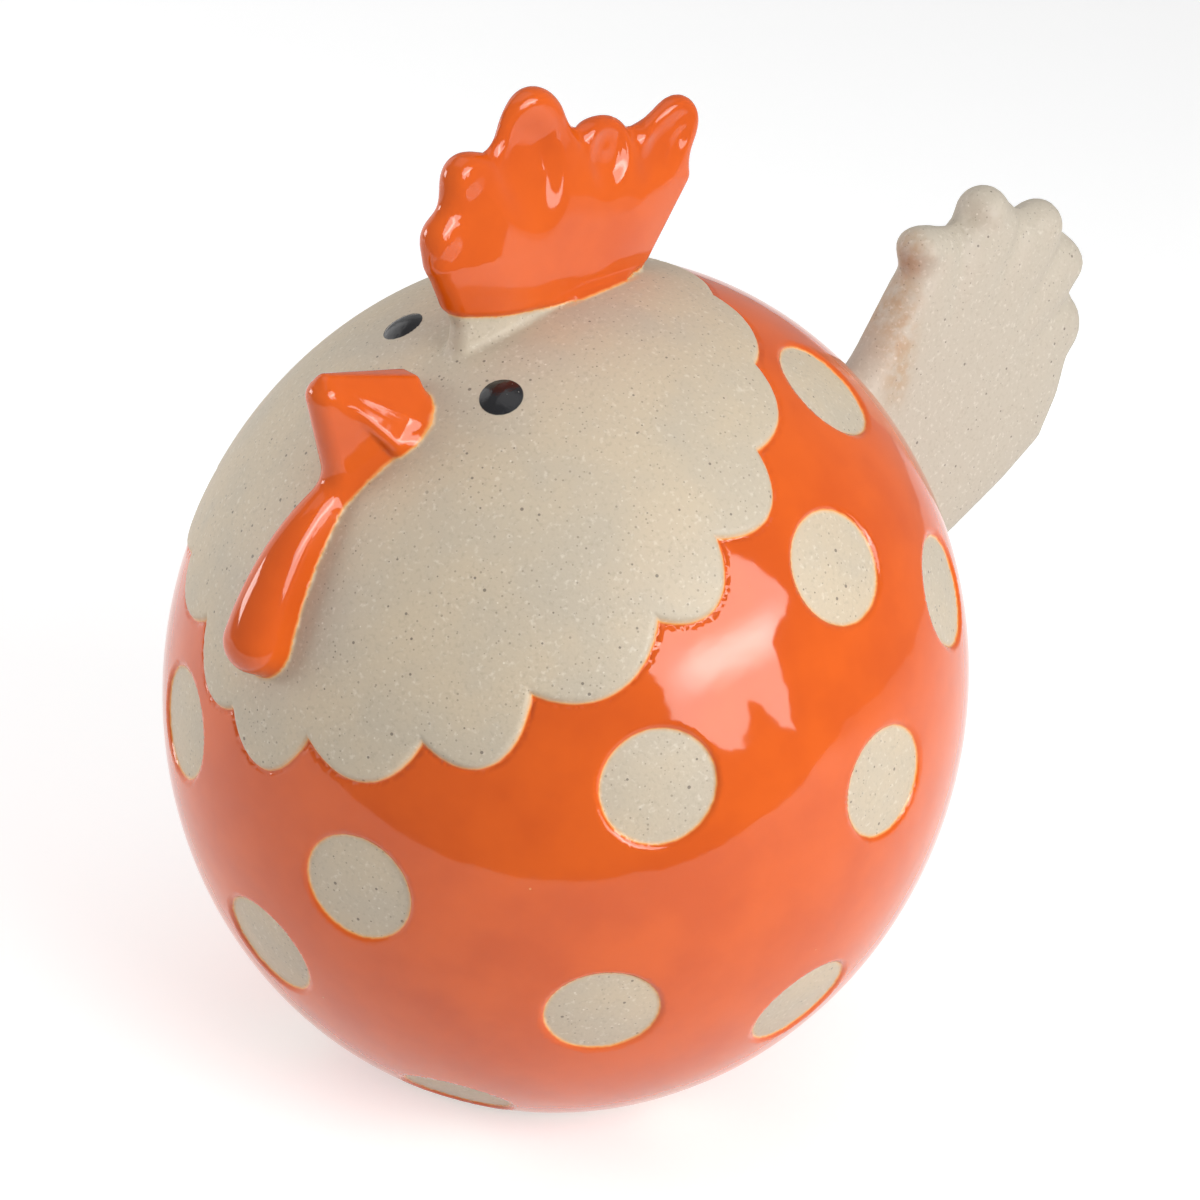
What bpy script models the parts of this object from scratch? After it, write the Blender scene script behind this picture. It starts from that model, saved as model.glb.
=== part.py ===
"""Round hen figurine, slip-cast in stoneware as one hollow piece and partly glazed.

Frame: +Z up, -Y towards the beak, +X towards the hen's left wing side, metres.
The origin is in the table plane, in the middle of the figurine's length and width.

The egg-shaped body is drawn as layers of one ellipsoid: the bare clay, a thin coat of glaze with
round bare dots left open in it, and a scalloped hood of clay that stands a little higher still.
Comb, tail, beak, wattle and eyes are set on the body by their directions from its middle, and all
of them are joined into one closed solid. The hollow and its vent are cut last.
"""

import math

import bmesh
import bpy
import numpy as np
from mathutils import Matrix, Vector

# Body: the clay ellipsoid, its cast wall and the flat foot it stands on
BODY_WIDTH = 0.0800
BODY_LENGTH = 0.0822
BODY_HEIGHT = 0.0882
WALL = 0.0045
FOOT_RADIUS = 0.0140
FOOT_CHAMFER = 0.0007
VENT_RADIUS = 0.0035
BODY_SIDES = 52
BODY_RINGS = 26
HOLLOW_SIDES = 28
HOLLOW_RINGS = 14

# Glaze coat: its thickness and the bare strip below it that keeps it off the kiln shelf
GLAZE_DEPTH = 0.0004
BARE_STRIP = 0.0012

# Polka dots: bare rounds left open in the glaze, as degrees from the front towards the
# hen's left and degrees above the middle of the body
DOT_RADIUS = 0.0055
DOT_SIDES = 16
DOTS_ON_THE_MID_LINE = ((0.7, -27.7), (180, -20), (180, -52))
DOTS_IN_PAIRS = (
    (59, 12.3),
    (92, 38.3),
    (97, 7.5),
    (31, -55),
    (56, -23.8),
    (93, -29.4),
    (122, 59.3),
    (122, 27.3),
    (132, -14),
    (156, 8),
    (96, -58),
    (135, -45),
)
DOTS_ON_ONE_SIDE = ((20.1, -8.9), (-18.3, -0.7), (-158, 49))

# Hood: a low relief of bare clay with a scalloped edge, round an axis tilted to the front. The
# scallops were cut by hand, so each has its own size: degrees round the axis from the front
# towards the hen's left and degrees out from the axis to the cusp where it starts, and how many
# degrees it bows out from the line to the next cusp
HOOD_DEPTH = 0.0008
HOOD_TILT = 32.3
HOOD_SCALLOPS = (
    (-150.5, 42.2, 2.5),
    (-129.0, 42.5, 3.0),
    (-107.5, 43.0, 4.0),
    (-86.0, 43.6, 4.4),
    (-64.5, 44.2, 4.4),
    (-43.0, 44.0, 3.5),
    (-22.0, 43.4, 3.9),
    (-5.0, 49.5, 5.9),
    (14.0, 48.6, 4.8),
    (36.5, 48.0, 5.7),
    (57.5, 45.2, 4.4),
    (83.5, 45.0, 4.6),
    (102.5, 43.2, 4.3),
    (123.5, 42.9, 2.5),
    (145.0, 42.3, 2.0),
    (166.5, 42.0, 2.0),
    (188.0, 42.0, 2.2),
)
SCALLOP_STEPS = 6

# Eyes: low black domes, one by one because they are painted by hand
EYE_RADIUS = 0.0021
EYE_DOME = 0.0005
LEFT_EYE = (20.8, 59.4)
RIGHT_EYE = (-25.7, 61.7)

# Comb: a plate in the middle plane with five round lobes. Points are (back, up) from the middle
# of its seat on the head, and a lobe's third number is its radius
COMB_SEAT = 102.5
COMB_THICKNESS = 0.0044
COMB_EDGE = 0.0016
COMB_GROOVE = 0.0007
COMB_LOBES = (
    (-0.0141, 0.0084, 0.0017),
    (-0.0120, 0.0141, 0.0020),
    (-0.0043, 0.0186, 0.0030),
    (0.0051, 0.0149, 0.0029),
    (0.0149, 0.0161, 0.0024),
)
COMB_WEB = (
    (-0.0098, -0.0070),
    (-0.0098, -0.0004),
    (-0.0136, 0.0058),
    (-0.0119, 0.0119),
    (-0.0083, 0.0150),
    (0.0016, 0.0162),
    (0.0086, 0.0154),
    (0.0140, 0.0147),
    (0.0092, -0.0004),
    (0.0092, -0.0070),
)
COMB_MIDDLE = (0.0, 0.0030)

# Neck: bare clay that flares from the foot of the comb into the head, below the painted edge.
# Balls are (sideways, forward, up, radius) from the comb's seat
COMB_NECK = (
    (0.0000, 0.0094, -0.0004, 0.0024),
    (0.0000, 0.0000, -0.0006, 0.0024),
    (0.0017, 0.0100, -0.0050, 0.0018),
    (-0.0017, 0.0100, -0.0050, 0.0018),
    (0.0014, -0.0030, -0.0014, 0.0018),
    (-0.0014, -0.0030, -0.0014, 0.0018),
)

# Tail: a thicker plate of the same make, with five feather lobes, from its seat on the back
TAIL_SEAT = 17.0
TAIL_THICKNESS = 0.0060
TAIL_EDGE = 0.0026
TAIL_GROOVE = 0.0009
TAIL_LOBES = (
    (0.0051, 0.0288, 0.0024),
    (0.0144, 0.0316, 0.0030),
    (0.0238, 0.0289, 0.0030),
    (0.0287, 0.0240, 0.0028),
    (0.0298, 0.0163, 0.0029),
)
TAIL_WEB = (
    (-0.0058, 0.0079),
    (0.0008, 0.0165),
    (0.0050, 0.0239),
    (0.0078, 0.0281),
    (0.0179, 0.0297),
    (0.0264, 0.0259),
    (0.0293, 0.0179),
    (0.0282, 0.0095),
    (0.0265, 0.0051),
    (0.0217, 0.0013),
    (0.0153, -0.0028),
    (-0.0005, -0.0126),
    (-0.0065, -0.0126),
)
TAIL_MIDDLE = (0.0060, 0.0080)

# Plate meshing: steps round the part that shows and round the buried part, steps across the
# rounded edge, and steps from there to the middle
PLATE_STEPS_SHOWN = 66
PLATE_STEPS_BURIED = 12
PLATE_EDGE_STEPS = 3
PLATE_FACE_STEPS = 4
GROOVE_WIDTH = 0.0011
GROOVE_LENGTH = 0.0080

# Beak: an upper and a lower half, each from a broad root to a blunt tip. Balls are
# (sideways, forward, up, radius) from the seat on the face
BEAK_SEAT = 50.3
UPPER_BEAK = (
    (0.0000, 0.0084, 0.0055, 0.0021),
    (0.0022, -0.0010, 0.0030, 0.0020),
    (-0.0022, -0.0010, 0.0030, 0.0020),
    (0.0030, -0.0015, 0.0000, 0.0014),
    (-0.0030, -0.0015, 0.0000, 0.0014),
)
LOWER_BEAK = (
    (0.0000, 0.0080, 0.0035, 0.0019),
    (0.0026, 0.0000, -0.0012, 0.0014),
    (-0.0026, 0.0000, -0.0012, 0.0014),
    (0.0000, 0.0050, -0.0026, 0.0016),
    (0.0000, 0.0010, -0.0046, 0.0016),
)
BALL_STEPS = 2

# Wattle: a drop that hangs from below the beak, bends forward and lies on the chest. Its three
# points are (forward, up) from the beak's seat and steer a curve
WATTLE_CURVE = ((0.0046, -0.0046), (0.0120, -0.0098), (0.0136, -0.0188))
WATTLE_TOP_RADIUS = 0.0014
WATTLE_END_RADIUS = 0.0035
WATTLE_STEPS = 9
WATTLE_CAP_STEPS = 3
WATTLE_SIDES = 14

HALF_BODY = np.array([BODY_WIDTH, BODY_LENGTH, BODY_HEIGHT]) / 2
FOOT_SHARE = 4 * FOOT_RADIUS / (BODY_WIDTH + BODY_LENGTH)
MIDDLE_HEIGHT = HALF_BODY[2] * math.sqrt(1 - FOOT_SHARE**2)
CUT_REACH = 0.0020
CARRIER = "figurine_carrier"


def clear_scene():
    """Remove every object and set up the empty that carries the model."""
    for item in list(bpy.data.objects):
        bpy.data.objects.remove(item, do_unlink=True)
    carrier = bpy.data.objects.new(CARRIER, None)
    bpy.context.scene.collection.objects.link(carrier)


def make_material(name, colour, roughness):
    """A Principled material of one colour."""
    material = bpy.data.materials.new(name)
    material.use_nodes = True
    shader = material.node_tree.nodes["Principled BSDF"]
    shader.inputs["Base Color"].default_value = (*colour, 1.0)
    shader.inputs["Roughness"].default_value = roughness
    shader.inputs["Metallic"].default_value = 0.0
    return material


def put_in_scene(name, bm, material, helper=True):
    """Make an object of a bmesh. A helper is only joined to, or cut from, another object.

    Everything hangs on one empty, so that the figurine and its helpers move together.
    """
    bmesh.ops.recalc_face_normals(bm, faces=bm.faces)
    mesh = bpy.data.meshes.new(name)
    bm.to_mesh(mesh)
    bm.free()
    mesh.materials.append(material)
    item = bpy.data.objects.new(name, mesh)
    item.parent = bpy.data.objects[CARRIER]
    bpy.context.scene.collection.objects.link(item)
    item.hide_render = helper
    item.display_type = "WIRE" if helper else "TEXTURED"
    return item


def combine(target, tool, operation):
    """Add a Boolean modifier that joins the tool to the target, or cuts or keeps by it."""
    modifier = target.modifiers.new(f"{operation.lower()} {tool.name}", "BOOLEAN")
    modifier.operation = operation
    modifier.solver = "EXACT"
    modifier.material_mode = "TRANSFER"
    modifier.object = tool


def direction(azimuth, elevation):
    """Unit vector by degrees from the front towards the hen's left, and degrees up."""
    turn = math.radians(azimuth)
    rise = math.radians(elevation)
    return Vector((math.sin(turn) * math.cos(rise), -math.cos(turn) * math.cos(rise), math.sin(rise)))


def on_body(way, lift=0.0):
    """Point of the body's surface in a direction from its middle, lifted by a layer."""
    half = [size + lift for size in HALF_BODY]
    reach = 1 / math.sqrt(sum((part / size) ** 2 for part, size in zip(way, half)))
    return way * reach


def outward(point):
    """Unit normal of the body's surface at a point."""
    return Vector([part / size**2 for part, size in zip(point, HALF_BODY)]).normalized()


def body_layer(name, lift, cut_height, sides, rings, material, chamfer=0.0):
    """Ellipsoid that lies a layer outside the clay, cut flat below a height over the table."""
    bm = bmesh.new()
    bmesh.ops.create_uvsphere(bm, u_segments=sides, v_segments=rings, radius=1.0)
    bmesh.ops.scale(bm, vec=Vector([size + lift for size in HALF_BODY]), verts=bm.verts)
    bmesh.ops.translate(bm, vec=(0, 0, MIDDLE_HEIGHT), verts=bm.verts)
    whole = bm.verts[:] + bm.edges[:] + bm.faces[:]
    cut = bmesh.ops.bisect_plane(
        bm, geom=whole, plane_co=(0, 0, cut_height), plane_no=(0, 0, -1), clear_outer=True
    )
    rim = [part for part in cut["geom_cut"] if isinstance(part, bmesh.types.BMEdge)]
    bmesh.ops.contextual_create(bm, geom=rim)
    if chamfer > 0:
        bmesh.ops.bevel(bm, geom=rim, offset=chamfer, segments=2, profile=0.5, affect="EDGES")
    return put_in_scene(name, bm, material)


def facing(point, way):
    """Matrix that puts local +Z along a direction at a point given from the body's middle."""
    turn = way.to_track_quat("Z", "Y").to_matrix().to_4x4()
    return Matrix.Translation(point + Vector((0, 0, MIDDLE_HEIGHT))) @ turn


def all_dots():
    """Directions of all dots, each pair mirrored across the middle plane."""
    mirrored = [(-azimuth, elevation) for azimuth, elevation in DOTS_IN_PAIRS]
    return [*DOTS_ON_THE_MID_LINE, *DOTS_IN_PAIRS, *mirrored, *DOTS_ON_ONE_SIDE]


def dot_cutters(material):
    """Short round punches, one for each dot, that reach through the glaze into the clay."""
    bm = bmesh.new()
    for azimuth, elevation in all_dots():
        point = on_body(direction(azimuth, elevation))
        bmesh.ops.create_cone(
            bm,
            cap_ends=True,
            segments=DOT_SIDES,
            radius1=DOT_RADIUS,
            radius2=DOT_RADIUS,
            depth=2 * CUT_REACH,
            matrix=facing(point, outward(point)),
        )
    return put_in_scene("dot_punches", bm, material)


def hood_rim():
    """Turn and spread in degrees of the points along the hood's scalloped edge.

    From each cusp to the next the spread changes evenly, and the scallop bows out from that line
    as a parabola.
    """
    rim = []
    again = (HOOD_SCALLOPS[0][0] + 360, *HOOD_SCALLOPS[0][1:])
    for scallop, following in zip(HOOD_SCALLOPS, [*HOOD_SCALLOPS[1:], again]):
        start, spread, bow = scallop
        for step in range(SCALLOP_STEPS):
            along = step / SCALLOP_STEPS
            turn = start + along * (following[0] - start)
            line = spread + along * (following[1] - spread)
            rim.append((turn, line + bow * (1 - (2 * along - 1) ** 2)))
    return rim


def hood_cutter(material):
    """Scalloped cone from the body's middle to well outside it."""
    tilt = math.radians(HOOD_TILT)
    axis = Vector((0, -math.sin(tilt), math.cos(tilt)))
    front = Vector((0, -math.cos(tilt), -math.sin(tilt)))
    left = Vector((1, 0, 0))
    reach = 1.5 * max(HALF_BODY)
    bm = bmesh.new()
    rim = []
    for degrees_round, degrees_out in hood_rim():
        turn = math.radians(degrees_round)
        spread = math.radians(degrees_out)
        side = front * math.cos(turn) + left * math.sin(turn)
        rim.append(bm.verts.new((axis * math.cos(spread) + side * math.sin(spread)) * reach))
    point = bm.verts.new((0, 0, 0))
    top = bm.verts.new(axis * reach)
    for first, second in zip(rim, rim[1:] + rim[:1]):
        bm.faces.new((point, second, first))
        bm.faces.new((top, first, second))
    bmesh.ops.translate(bm, vec=(0, 0, MIDDLE_HEIGHT), verts=bm.verts)
    return put_in_scene("hood_cutter", bm, material)


def seat_point(rise):
    """Point of the body's outline in the middle plane, by degrees up from straight back."""
    angle = math.radians(rise)
    return on_body(Vector((0, math.cos(angle), math.sin(angle))))


def distance_to_outline(points, corners, edge, lobes):
    """Signed distance in a plane from points to a web of corners with round lobes.

    It is the distance to the polygon less its edge radius, joined with the lobes' circles, and
    is negative inside.
    """
    corners = np.array(corners)
    ends = np.roll(corners, -1, axis=0)
    nearest = np.full(len(points), np.inf)
    inside = np.zeros(len(points), bool)
    for start, end in zip(corners, ends):
        run = end - start
        away = points - start
        along = np.clip(away @ run / (run @ run), 0, 1)
        nearest = np.minimum(nearest, np.linalg.norm(away - along[:, None] * run, axis=1))
        spans = (start[1] > points[:, 1]) != (end[1] > points[:, 1])
        level = (points[:, 1] - start[1]) / (run[1] if run[1] else 1) * run[0] + start[0]
        inside ^= spans & (points[:, 0] < level)
    distance = np.where(inside, -nearest, nearest) - edge
    for back, up, radius in lobes:
        distance = np.minimum(distance, np.linalg.norm(points - (back, up), axis=1) - radius)
    return distance


def outline_reach(angles, middle, corners, edge, lobes):
    """How far the outline lies from the plate's middle in each direction."""
    corner_reach = max(math.dist(middle, corner) for corner in corners) + 2 * edge
    lobe_reach = max(math.dist(middle, lobe[:2]) + lobe[2] for lobe in lobes)
    reaches = np.linspace(0, max(corner_reach, lobe_reach), 400)
    ways = np.stack([np.cos(angles), np.sin(angles)], axis=1)
    points = np.array(middle) + ways[:, None] * reaches[None, :, None]
    inside = distance_to_outline(points.reshape(-1, 2), corners, edge, lobes) < 0
    inside = inside.reshape(len(angles), -1)
    last = inside.shape[1] - 1 - np.argmax(inside[:, ::-1], axis=1)
    return reaches[last]


def groove_depth(points, middle, lobes, depth):
    """Depth of the soft grooves that run inwards from between neighbouring lobes."""
    total = np.zeros(len(points))
    for one, other in zip(lobes, lobes[1:]):
        gap = (np.array(one[:2]) + np.array(other[:2])) / 2
        inward = np.array(middle) - gap
        inward /= np.linalg.norm(inward)
        away = points - gap
        along = away @ inward
        across = np.linalg.norm(away - along[:, None] * inward, axis=1)
        fade = np.clip(1 - along / GROOVE_LENGTH, 0, 1)
        total = np.maximum(total, depth * fade * np.exp(-((across / GROOVE_WIDTH) ** 2)))
    return total


def lobed_plate(name, seat, shown, middle, corners, edge, lobes, thickness, groove, material):
    """Plate in the middle plane with a rounded edge, round lobes and grooves between them.

    The outline is read by angle about the plate's middle. Each ring of points lies a step further
    in from it: over the edge the half thickness follows a quarter circle, and past it only the
    grooves change it. shown is the range of degrees that is meshed finely.
    """
    first, last = shown
    fine = np.linspace(first, last, PLATE_STEPS_SHOWN, endpoint=False)
    coarse = np.linspace(last, first + 360, PLATE_STEPS_BURIED, endpoint=False)
    angles = np.radians(np.concatenate([fine, coarse]))
    ways = np.stack([np.cos(angles), np.sin(angles)], axis=1)
    reach = outline_reach(angles, middle, corners, edge, lobes)
    half = thickness / 2
    bend = np.linspace(0, math.pi / 2, PLATE_EDGE_STEPS + 1)
    rings = [(reach - half * (1 - math.cos(turn)), half * math.sin(turn)) for turn in bend]
    for step in range(1, PLATE_FACE_STEPS):
        rings.append(((reach - half) * (1 - step / PLATE_FACE_STEPS), half))

    bm = bmesh.new()

    def ring_of(inset, rise, side):
        points = np.array(middle) + ways * inset[:, None]
        lift = rise - groove_depth(points, middle, lobes, groove) * (rise / half)
        return [
            bm.verts.new((side * up, back, height)) for up, (back, height) in zip(lift, points)
        ]

    def bridge(outer, inner, side):
        for one, two, three, four in zip(outer, outer[1:] + outer[:1], inner[1:] + inner[:1], inner):
            bm.faces.new((one, two, three, four)[::side])

    rim = ring_of(*rings[0], 1)
    for side in (1, -1):
        outer = rim
        for inset, rise in rings[1:]:
            inner = ring_of(inset, rise, side)
            bridge(outer, inner, side)
            outer = inner
        centre = bm.verts.new((side * half, *middle))
        for one, two in zip(outer, outer[1:] + outer[:1]):
            bm.faces.new((one, two, centre)[::side])
    bmesh.ops.translate(bm, vec=seat + Vector((0, 0, MIDDLE_HEIGHT)), verts=bm.verts)
    return put_in_scene(name, bm, material)


def hull_of_balls(name, seat, balls, material):
    """Smallest convex skin round balls given as (sideways, forward, up, radius) from a seat."""
    bm = bmesh.new()
    for sideways, forward, up, radius in balls:
        place = seat + Vector((sideways, -forward, up + MIDDLE_HEIGHT))
        bmesh.ops.create_icosphere(
            bm, subdivisions=BALL_STEPS, radius=radius, matrix=Matrix.Translation(place)
        )
    points = [vert.co.copy() for vert in bm.verts]
    bm.free()
    bm = bmesh.new()
    for point in points:
        bm.verts.new(point)
    skin = bmesh.ops.convex_hull(bm, input=bm.verts)
    buried = [part for part in skin["geom_interior"] if isinstance(part, bmesh.types.BMVert)]
    bmesh.ops.delete(bm, geom=buried, context="VERTS")
    return put_in_scene(name, bm, material)


def wattle(seat, material):
    """Round drop along a curve steered by three points, with a rounded cap at each end.

    The middle of each ring is (1-t)^2 A + 2 t (1-t) B + t^2 C, and its radius grows evenly from
    the top to the lower end.
    """
    start, steer, end = [np.array(point) for point in WATTLE_CURVE]
    stations = []
    for t in np.linspace(0, 1, WATTLE_STEPS):
        place = (1 - t) ** 2 * start + 2 * t * (1 - t) * steer + t**2 * end
        course = (1 - t) * (steer - start) + t * (end - steer)
        course /= np.linalg.norm(course)
        radius = WATTLE_TOP_RADIUS + t * (WATTLE_END_RADIUS - WATTLE_TOP_RADIUS)
        stations.append((place, course, radius))
    caps = [math.pi / 2 * step / (WATTLE_CAP_STEPS + 1) for step in range(1, WATTLE_CAP_STEPS + 1)]
    top, low = stations[0], stations[-1]
    head = [(top[0] - top[1] * top[2] * math.sin(a), top[1], top[2] * math.cos(a)) for a in caps]
    foot = [(low[0] + low[1] * low[2] * math.sin(a), low[1], low[2] * math.cos(a)) for a in caps]
    rings = head[::-1] + stations + foot

    bm = bmesh.new()
    loops = []
    for place, course, radius in rings:
        across = np.array((-course[1], course[0]))
        loop = []
        for step in range(WATTLE_SIDES):
            turn = 2 * math.pi * step / WATTLE_SIDES
            forward, up = place + across * radius * math.sin(turn)
            loop.append(bm.verts.new((radius * math.cos(turn), -forward, up)))
        loops.append(loop)
    for outer, inner in zip(loops, loops[1:]):
        for one, two, three, four in zip(outer, outer[1:] + outer[:1], inner[1:] + inner[:1], inner):
            bm.faces.new((one, two, three, four))
    for loop, (place, course, radius), sign in ((loops[0], top, -1), (loops[-1], low, 1)):
        forward, up = place + sign * course * radius
        pole = bm.verts.new((0, -forward, up))
        for one, two in zip(loop, loop[1:] + loop[:1]):
            bm.faces.new((one, two, pole))
    bmesh.ops.translate(bm, vec=seat + Vector((0, 0, MIDDLE_HEIGHT)), verts=bm.verts)
    return put_in_scene("wattle", bm, material)


def eyes(material):
    """Two low domes on the hood."""
    bm = bmesh.new()
    for azimuth, elevation in (LEFT_EYE, RIGHT_EYE):
        point = on_body(direction(azimuth, elevation), HOOD_DEPTH)
        matrix = facing(point, outward(point)) @ Matrix.Diagonal((1, 1, EYE_DOME / EYE_RADIUS, 1))
        bmesh.ops.create_uvsphere(bm, u_segments=16, v_segments=6, radius=EYE_RADIUS, matrix=matrix)
    return put_in_scene("eye_domes", bm, material)


def vent(material):
    """Upright round cutter through the floor."""
    bm = bmesh.new()
    bmesh.ops.create_cone(
        bm,
        cap_ends=True,
        segments=24,
        radius1=VENT_RADIUS,
        radius2=VENT_RADIUS,
        depth=4 * WALL,
    )
    return put_in_scene("vent_cutter", bm, material)


def centre_on_table(item):
    """Move the carrier so that the solid's width and length have their middle over the origin."""
    bpy.context.view_layer.update()
    solid = item.evaluated_get(bpy.context.evaluated_depsgraph_get()).to_mesh()
    points = np.array([vert.co for vert in solid.vertices])
    middle = (points.min(axis=0) + points.max(axis=0)) / 2
    item.parent.location = (-middle[0], -middle[1], 0)


def main():
    """Model the layers and the details, then join them into one cast piece."""
    clear_scene()
    clay = make_material("speckled_clay", (0.68, 0.61, 0.48), 0.6)
    orange = make_material("orange_glaze", (0.76, 0.13, 0.015), 0.12)
    black = make_material("black_glaze", (0.01, 0.01, 0.01), 0.15)

    dots = dot_cutters(clay)
    scallops = hood_cutter(clay)
    hen = body_layer("hen_figurine", 0, 0, BODY_SIDES, BODY_RINGS, clay, FOOT_CHAMFER)
    coat = body_layer("glaze_coat", GLAZE_DEPTH, BARE_STRIP, BODY_SIDES, BODY_RINGS, orange)
    combine(coat, dots, "DIFFERENCE")
    hood = body_layer("hood", HOOD_DEPTH, BARE_STRIP, BODY_SIDES, BODY_RINGS, clay)
    combine(hood, scallops, "INTERSECT")

    comb_seat = seat_point(COMB_SEAT)
    comb = lobed_plate(
        "comb",
        comb_seat,
        (-15, 195),
        COMB_MIDDLE,
        COMB_WEB,
        COMB_EDGE,
        COMB_LOBES,
        COMB_THICKNESS,
        COMB_GROOVE,
        orange,
    )
    neck = hull_of_balls("comb_neck", comb_seat, COMB_NECK, clay)
    tail = lobed_plate(
        "tail",
        seat_point(TAIL_SEAT),
        (-60, 125),
        TAIL_MIDDLE,
        TAIL_WEB,
        TAIL_EDGE,
        TAIL_LOBES,
        TAIL_THICKNESS,
        TAIL_GROOVE,
        clay,
    )
    beak_seat = seat_point(180 - BEAK_SEAT)
    upper_beak = hull_of_balls("upper_beak", beak_seat, UPPER_BEAK, orange)
    lower_beak = hull_of_balls("lower_beak", beak_seat, LOWER_BEAK, orange)
    drop = wattle(beak_seat, orange)
    for piece in (coat, hood, comb, neck, tail, upper_beak, lower_beak, drop):
        combine(hen, piece, "UNION")
    combine(hen, eyes(black), "UNION")
    hollow = body_layer("hollow", -WALL, WALL, HOLLOW_SIDES, HOLLOW_RINGS, clay)
    combine(hen, hollow, "DIFFERENCE")
    combine(hen, vent(clay), "DIFFERENCE")
    hen.hide_render = False
    hen.display_type = "TEXTURED"
    centre_on_table(hen)


main()
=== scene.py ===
"""Looks of the hen figurine: the finely modelled cast piece, its clay and glazes, and the studio.

The figurine is one fired piece, so it is one closed skin. Each feature is a small class that
gives its signed distance, the length from any point to its surface, negative inside. The
features are joined with soft fillets, the joined skin is read off a grid, and its triangles are
then split finely wherever an edge of hood or glaze runs. Lengths are metres and the frame is the
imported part's own: +Z up, -Y towards the beak, +X towards the hen's left.
"""

import itertools
import logging
import math
from collections.abc import Callable
from dataclasses import dataclass, field
from enum import Enum

import bpy
import numpy as np
from mathutils import Matrix, Vector

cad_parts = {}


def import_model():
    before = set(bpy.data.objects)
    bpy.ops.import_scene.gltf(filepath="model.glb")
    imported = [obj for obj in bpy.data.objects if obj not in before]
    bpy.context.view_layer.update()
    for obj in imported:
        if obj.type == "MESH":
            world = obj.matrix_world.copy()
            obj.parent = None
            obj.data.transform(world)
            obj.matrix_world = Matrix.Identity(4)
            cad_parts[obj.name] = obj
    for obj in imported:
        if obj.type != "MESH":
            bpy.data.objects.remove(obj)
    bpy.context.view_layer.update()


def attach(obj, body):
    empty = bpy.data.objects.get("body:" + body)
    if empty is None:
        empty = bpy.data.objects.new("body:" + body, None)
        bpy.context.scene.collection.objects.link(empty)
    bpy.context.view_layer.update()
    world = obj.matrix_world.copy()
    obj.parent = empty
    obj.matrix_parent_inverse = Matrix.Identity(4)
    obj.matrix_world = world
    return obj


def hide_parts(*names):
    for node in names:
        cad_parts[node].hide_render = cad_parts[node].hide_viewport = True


LOG = logging.getLogger("hen_figurine")
NODE = "hen_figurine"
FAR = 0.02
MM = 0.001
TOUCH = 1e-7
TINY = 1e-9
TINY_LENGTH = 1e-6
FLATTEST = 0.05
SEEN_BY = ("Camera", "Glossy", "Transmission")

Field = Callable[[np.ndarray], np.ndarray]


class Part(Enum):
    """What is cast on to the body."""

    COMB = "comb"
    TAIL = "tail"
    BEAK = "beak"
    WATTLE = "wattle"


class Area(Enum):
    """Areas of the skin with an edge of their own, by the name of the attribute."""

    EVEN = "inside_even_scallops"
    ODD = "inside_odd_scallops"
    DOTS = "outside_bare_dots"
    PAINT = "inside_painted_parts"
    EYES = "inside_eyes"
    TAIL = "near_tail"


def smooth_union(one: np.ndarray, other: np.ndarray, fillet: float) -> np.ndarray:
    """Join two distances with a concave fillet.

    The lesser distance, lowered where the two are within one fillet of each other by
    (fillet - gap)^2 / (4 fillet).

    Args:
        one: Distances to the first surface.
        other: Distances to the second surface.
        fillet: Width of the blend.

    Returns:
        Distances to the joined surface.
    """
    near = np.maximum(fillet - np.abs(one - other), 0)
    return np.minimum(one, other) - near**2 / (4 * fillet)


def rounded_step(distance: np.ndarray, width: float) -> np.ndarray:
    """Parabolic rise from 0 at an edge to 1 at a width inside it: steep first, then level.

    Args:
        distance: Distances in from the edge.
        width: Distance over which the step rises.

    Returns:
        Heights from 0 to 1.
    """
    short = 1 - np.clip(distance / width, 0, 1)
    return 1 - short**2


def triangle_distance(points: np.ndarray, corners: np.ndarray) -> np.ndarray:
    """Distance to a flat triangle: its plane's where the point is over it, else its edges'.

    Args:
        points: Places, one row each.
        corners: The three corners, one row each.

    Returns:
        Distances, never negative.
    """
    normal = np.cross(corners[1] - corners[0], corners[2] - corners[0])
    normal = normal / np.linalg.norm(normal)
    over = np.ones(len(points), bool)
    nearest = np.full(len(points), np.inf)
    for start, end in zip(corners, np.roll(corners, -1, axis=0)):
        run = end - start
        away = points - start
        along = np.clip(away @ run / (run @ run), 0, 1)
        nearest = np.minimum(nearest, np.linalg.norm(away - along[:, None] * run, axis=1))
        over &= away @ np.cross(run, normal) <= 0
    height = np.abs((points - corners[0]) @ normal)
    return np.where(over, height, nearest)


def grown_hull(points: np.ndarray, corners: np.ndarray, radius: float) -> np.ndarray:
    """Distance to the convex hull of some corners, grown all round by a radius.

    Three corners are a face of the hull where all the others lie on one side of them.

    Args:
        points: Places, one row each.
        corners: The corners, one row each.
        radius: Growth all round.

    Returns:
        Signed distances.
    """
    inside = np.ones(len(points), bool)
    nearest = np.full(len(points), np.inf)
    for trio in itertools.combinations(corners, 3):
        face = np.array(trio)
        normal = np.cross(face[1] - face[0], face[2] - face[0])
        sides = (corners - face[0]) @ (normal / np.linalg.norm(normal))
        if sides.min() < -TOUCH and sides.max() > TOUCH:
            continue
        outward = normal if sides.max() <= TOUCH else -normal
        nearest = np.minimum(nearest, triangle_distance(points, face))
        inside &= (points - face[0]) @ outward < 0
    return np.where(inside, -nearest, nearest) - radius


def direction(azimuth: float, elevation: float) -> np.ndarray:
    """Unit vector by degrees from the front towards the hen's left, and degrees up."""
    turn, rise = math.radians(azimuth), math.radians(elevation)
    level = math.cos(rise)
    return np.array([math.sin(turn) * level, -math.cos(turn) * level, math.sin(rise)])


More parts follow.
